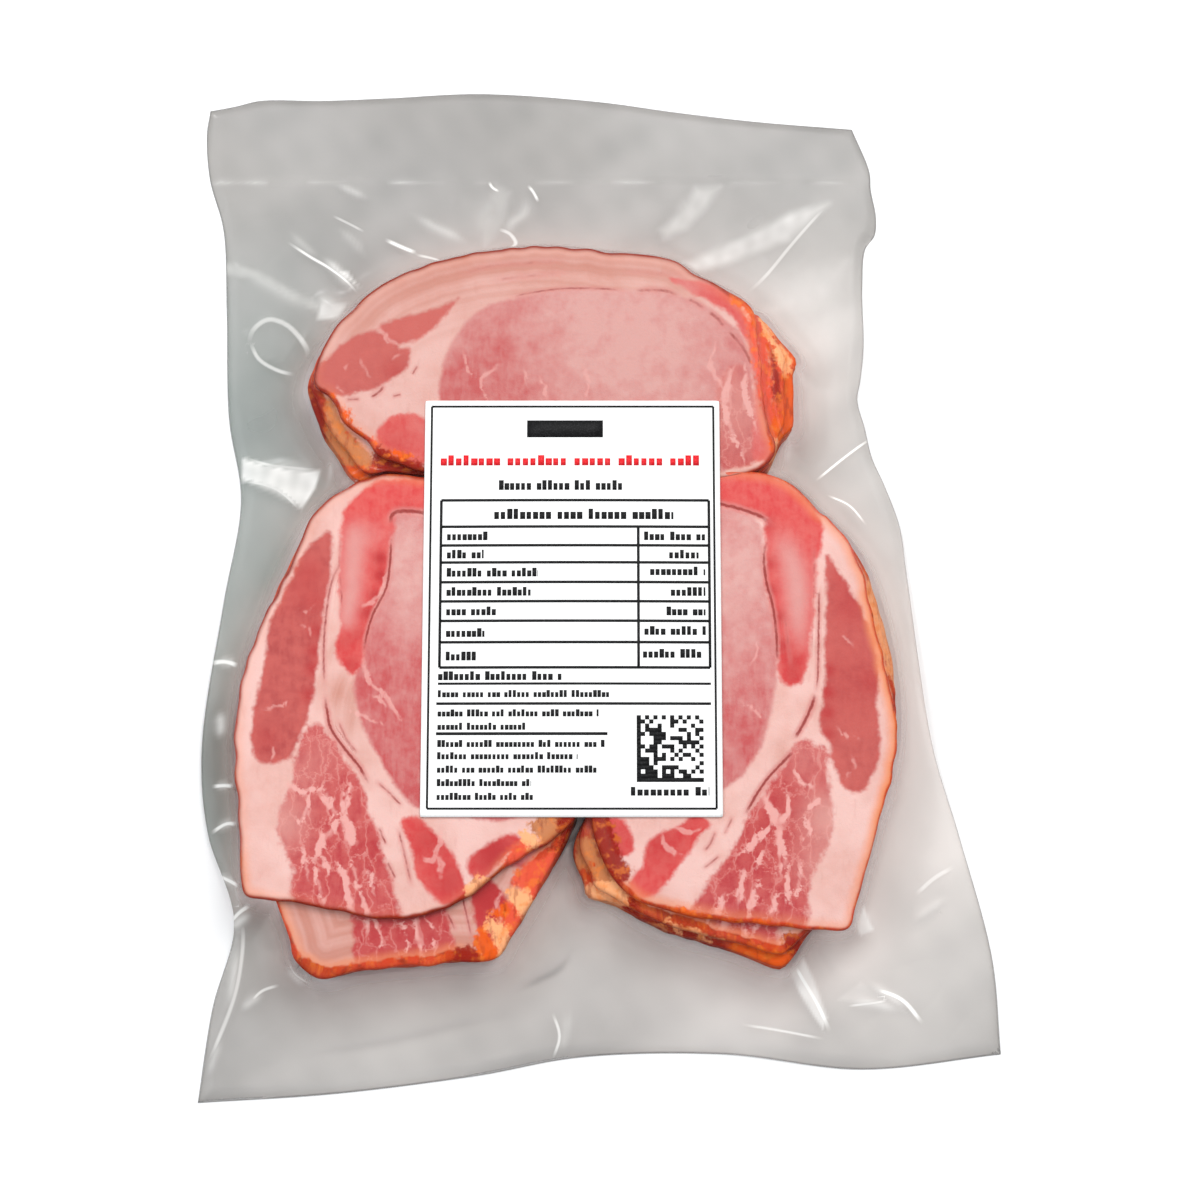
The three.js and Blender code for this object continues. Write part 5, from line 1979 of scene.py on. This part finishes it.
    def block_code(self) -> Boxes:
        """A generic square of seeded blocks with two solid sides and two of even steps.

        Returns:
            Each run of blocks' left, right, bottom and top.
        """
        cells, left, bottom, size = 16, 21.8, -59.8, 22.4
        step = size / cells
        rng = np.random.default_rng(404)
        filled = rng.random((cells, cells)) < 0.5
        filled[0, :] = True
        filled[:, 0] = True
        filled[-1, :] = np.arange(cells) % 2 == 0
        filled[:, -1] = np.arange(cells) % 2 == 0
        blocks = []
        for row in range(cells):
            column = 0
            while column < cells:
                run = column
                while run < cells and filled[row, run]:
                    run += 1
                if run > column:
                    y = bottom + row * step
                    blocks.append((left + column * step, left + run * step, y, y + step))
                column = run + 1
        return blocks

    def red_print(self) -> Boxes:
        """The red line of words below the title's place."""
        return self.words(-45.0, 45.5, 50.4, 3.6, 5, 2.6)


# ---- the studio ----


@dataclass(frozen=True)
class Studio:
    """The pale floor, the soft lights and the camera that looks down as the photograph does.

    Its sizes are in metres, the sensor's in millimetres and the two below it in pixels.
    """

    tilt: float = math.radians(10)
    distance: float = 0.8
    aim_height: float = 0.008
    sensor: float = 36.0
    focal_px: float = 2318.84
    frame_px: float = 1200.0
    near_clip: float = 0.01
    floor_half: float = 3.0
    floor_below: float = 0.0002

    def camera(self, plan: Plan) -> None:
        """Makes the camera, back from the aim point along its view and tilted towards the pack's foot.

        Args:
            plan: where the plan lies. Its origin is the aim point.
        """
        data = bpy.data.cameras.new("camera")
        data.sensor_width = self.sensor
        data.lens = self.focal_px * self.sensor / self.frame_px
        data.clip_start = self.near_clip
        made = bpy.data.objects.new("camera", data)
        back = Vector((0, -math.sin(self.tilt), math.cos(self.tilt)))
        aim = Vector((plan.shift_x * MM, plan.shift_y * MM, self.aim_height))
        made.location = aim + back * self.distance
        made.rotation_euler = (self.tilt, 0, 0)
        bpy.context.scene.collection.objects.link(made)
        bpy.context.scene.camera = made

    def light(self, name: str, place: tuple[float, float, float], size: float, power: float,
              tint: tuple[float, float, float] = (1, 1, 1)) -> None:
        """Makes a square soft light that faces the pack.

        Args:
            name: the light's name.
            place: where it is.
            size: its side.
            power: its power in watts.
            tint: its colour.
        """
        data = bpy.data.lights.new(name, "AREA")
        data.energy = power
        data.size = size
        data.color = tint
        made = bpy.data.objects.new(name, data)
        made.location = place
        made.rotation_euler = (-Vector(place)).to_track_quat("-Z", "Y").to_euler()
        bpy.context.scene.collection.objects.link(made)

    def build(self, plan: Plan) -> None:
        """Makes the floor, the surroundings, the lights and the camera.

        Args:
            plan: where the plan lies.
        """
        graph = Graph("floor_paper")
        place = graph.millimetres()
        tone = graph.mix(srgb(246, 246, 246), srgb(250, 250, 250), graph.noise(place, 0.004, 3))
        shader = graph.node("ShaderNodeBsdfPrincipled", {
            "Base Color": tone, "Roughness": 0.9, "Specular IOR Level": 0.1,
        })
        mesh = bpy.data.meshes.new("floor")
        half = self.floor_half
        corners = [(-half, -half, 0), (half, -half, 0), (half, half, 0), (-half, half, 0)]
        mesh.from_pydata(corners, [], [(0, 1, 2, 3)])
        floor = bpy.data.objects.new("floor", mesh)
        floor.location = (0, 0, -self.floor_below)
        floor.data.materials.append(graph.finish(shader.outputs[0]))
        bpy.context.scene.collection.objects.link(floor)

        world = bpy.data.worlds.new("studio")
        world.use_nodes = True
        background = world.node_tree.nodes["Background"].inputs
        background["Color"].default_value = (0.95, 0.97, 1.0, 1)
        background["Strength"].default_value = 0.55
        bpy.context.scene.world = world
        self.light("key", (0.55, 0.75, 1.15), 0.9, 14.0, (1.0, 0.99, 0.97))
        self.light("fill", (-0.9, 0.1, 0.9), 0.8, 6.0, (0.94, 0.98, 1.0))
        self.light("glint", (-0.5, 0.75, 0.8), 0.12, 2.2)
        bpy.context.scene.view_settings.view_transform = "Standard"
        self.camera(plan)


# ---- assembly ----


def ride(piece: Piece, node: str) -> None:
    """Makes a new piece ride on the pack.

    Args:
        piece: the piece.
        node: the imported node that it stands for.
    """
    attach(piece, "root")
    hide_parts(node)
    log.info("%s: %d faces", piece.name, len(piece.data.polygons))


def main() -> None:
    """Builds the studio and then the pack in order: slices, film, label and print."""
    logging.basicConfig(level=logging.INFO, format="%(message)s")
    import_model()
    plan = Plan.from_label()
    Studio().build(plan)

    for stack in STACKS:
        meat = MeatFinish(f"meat_{stack.name}", stack.streak_turn, stack.dull).material()
        for level in range(SLICES_PER_STACK):
            rays, face_rings = SLICE_DETAIL[min(level, len(SLICE_DETAIL) - 1)]
            ride(stack.build(plan, level, rays, face_rings, meat), "bag")

    ride(Film().build(plan, FilmFinish("film").material()), "bag")

    label = Label()
    ride(label.sheet(plan, PaperFinish().material()), "label")
    black = InkFinish("ink_black", srgb(14, 14, 15), srgb(40, 40, 42)).material()
    red = InkFinish("ink_red", srgb(222, 20, 32), srgb(232, 70, 76)).material()
    ride(label.bars("print_black", plan, label.black_print(), black), "label")
    ride(label.bars("print_red", plan, label.red_print(), red), "label")


if __name__ == "__main__":
    main()
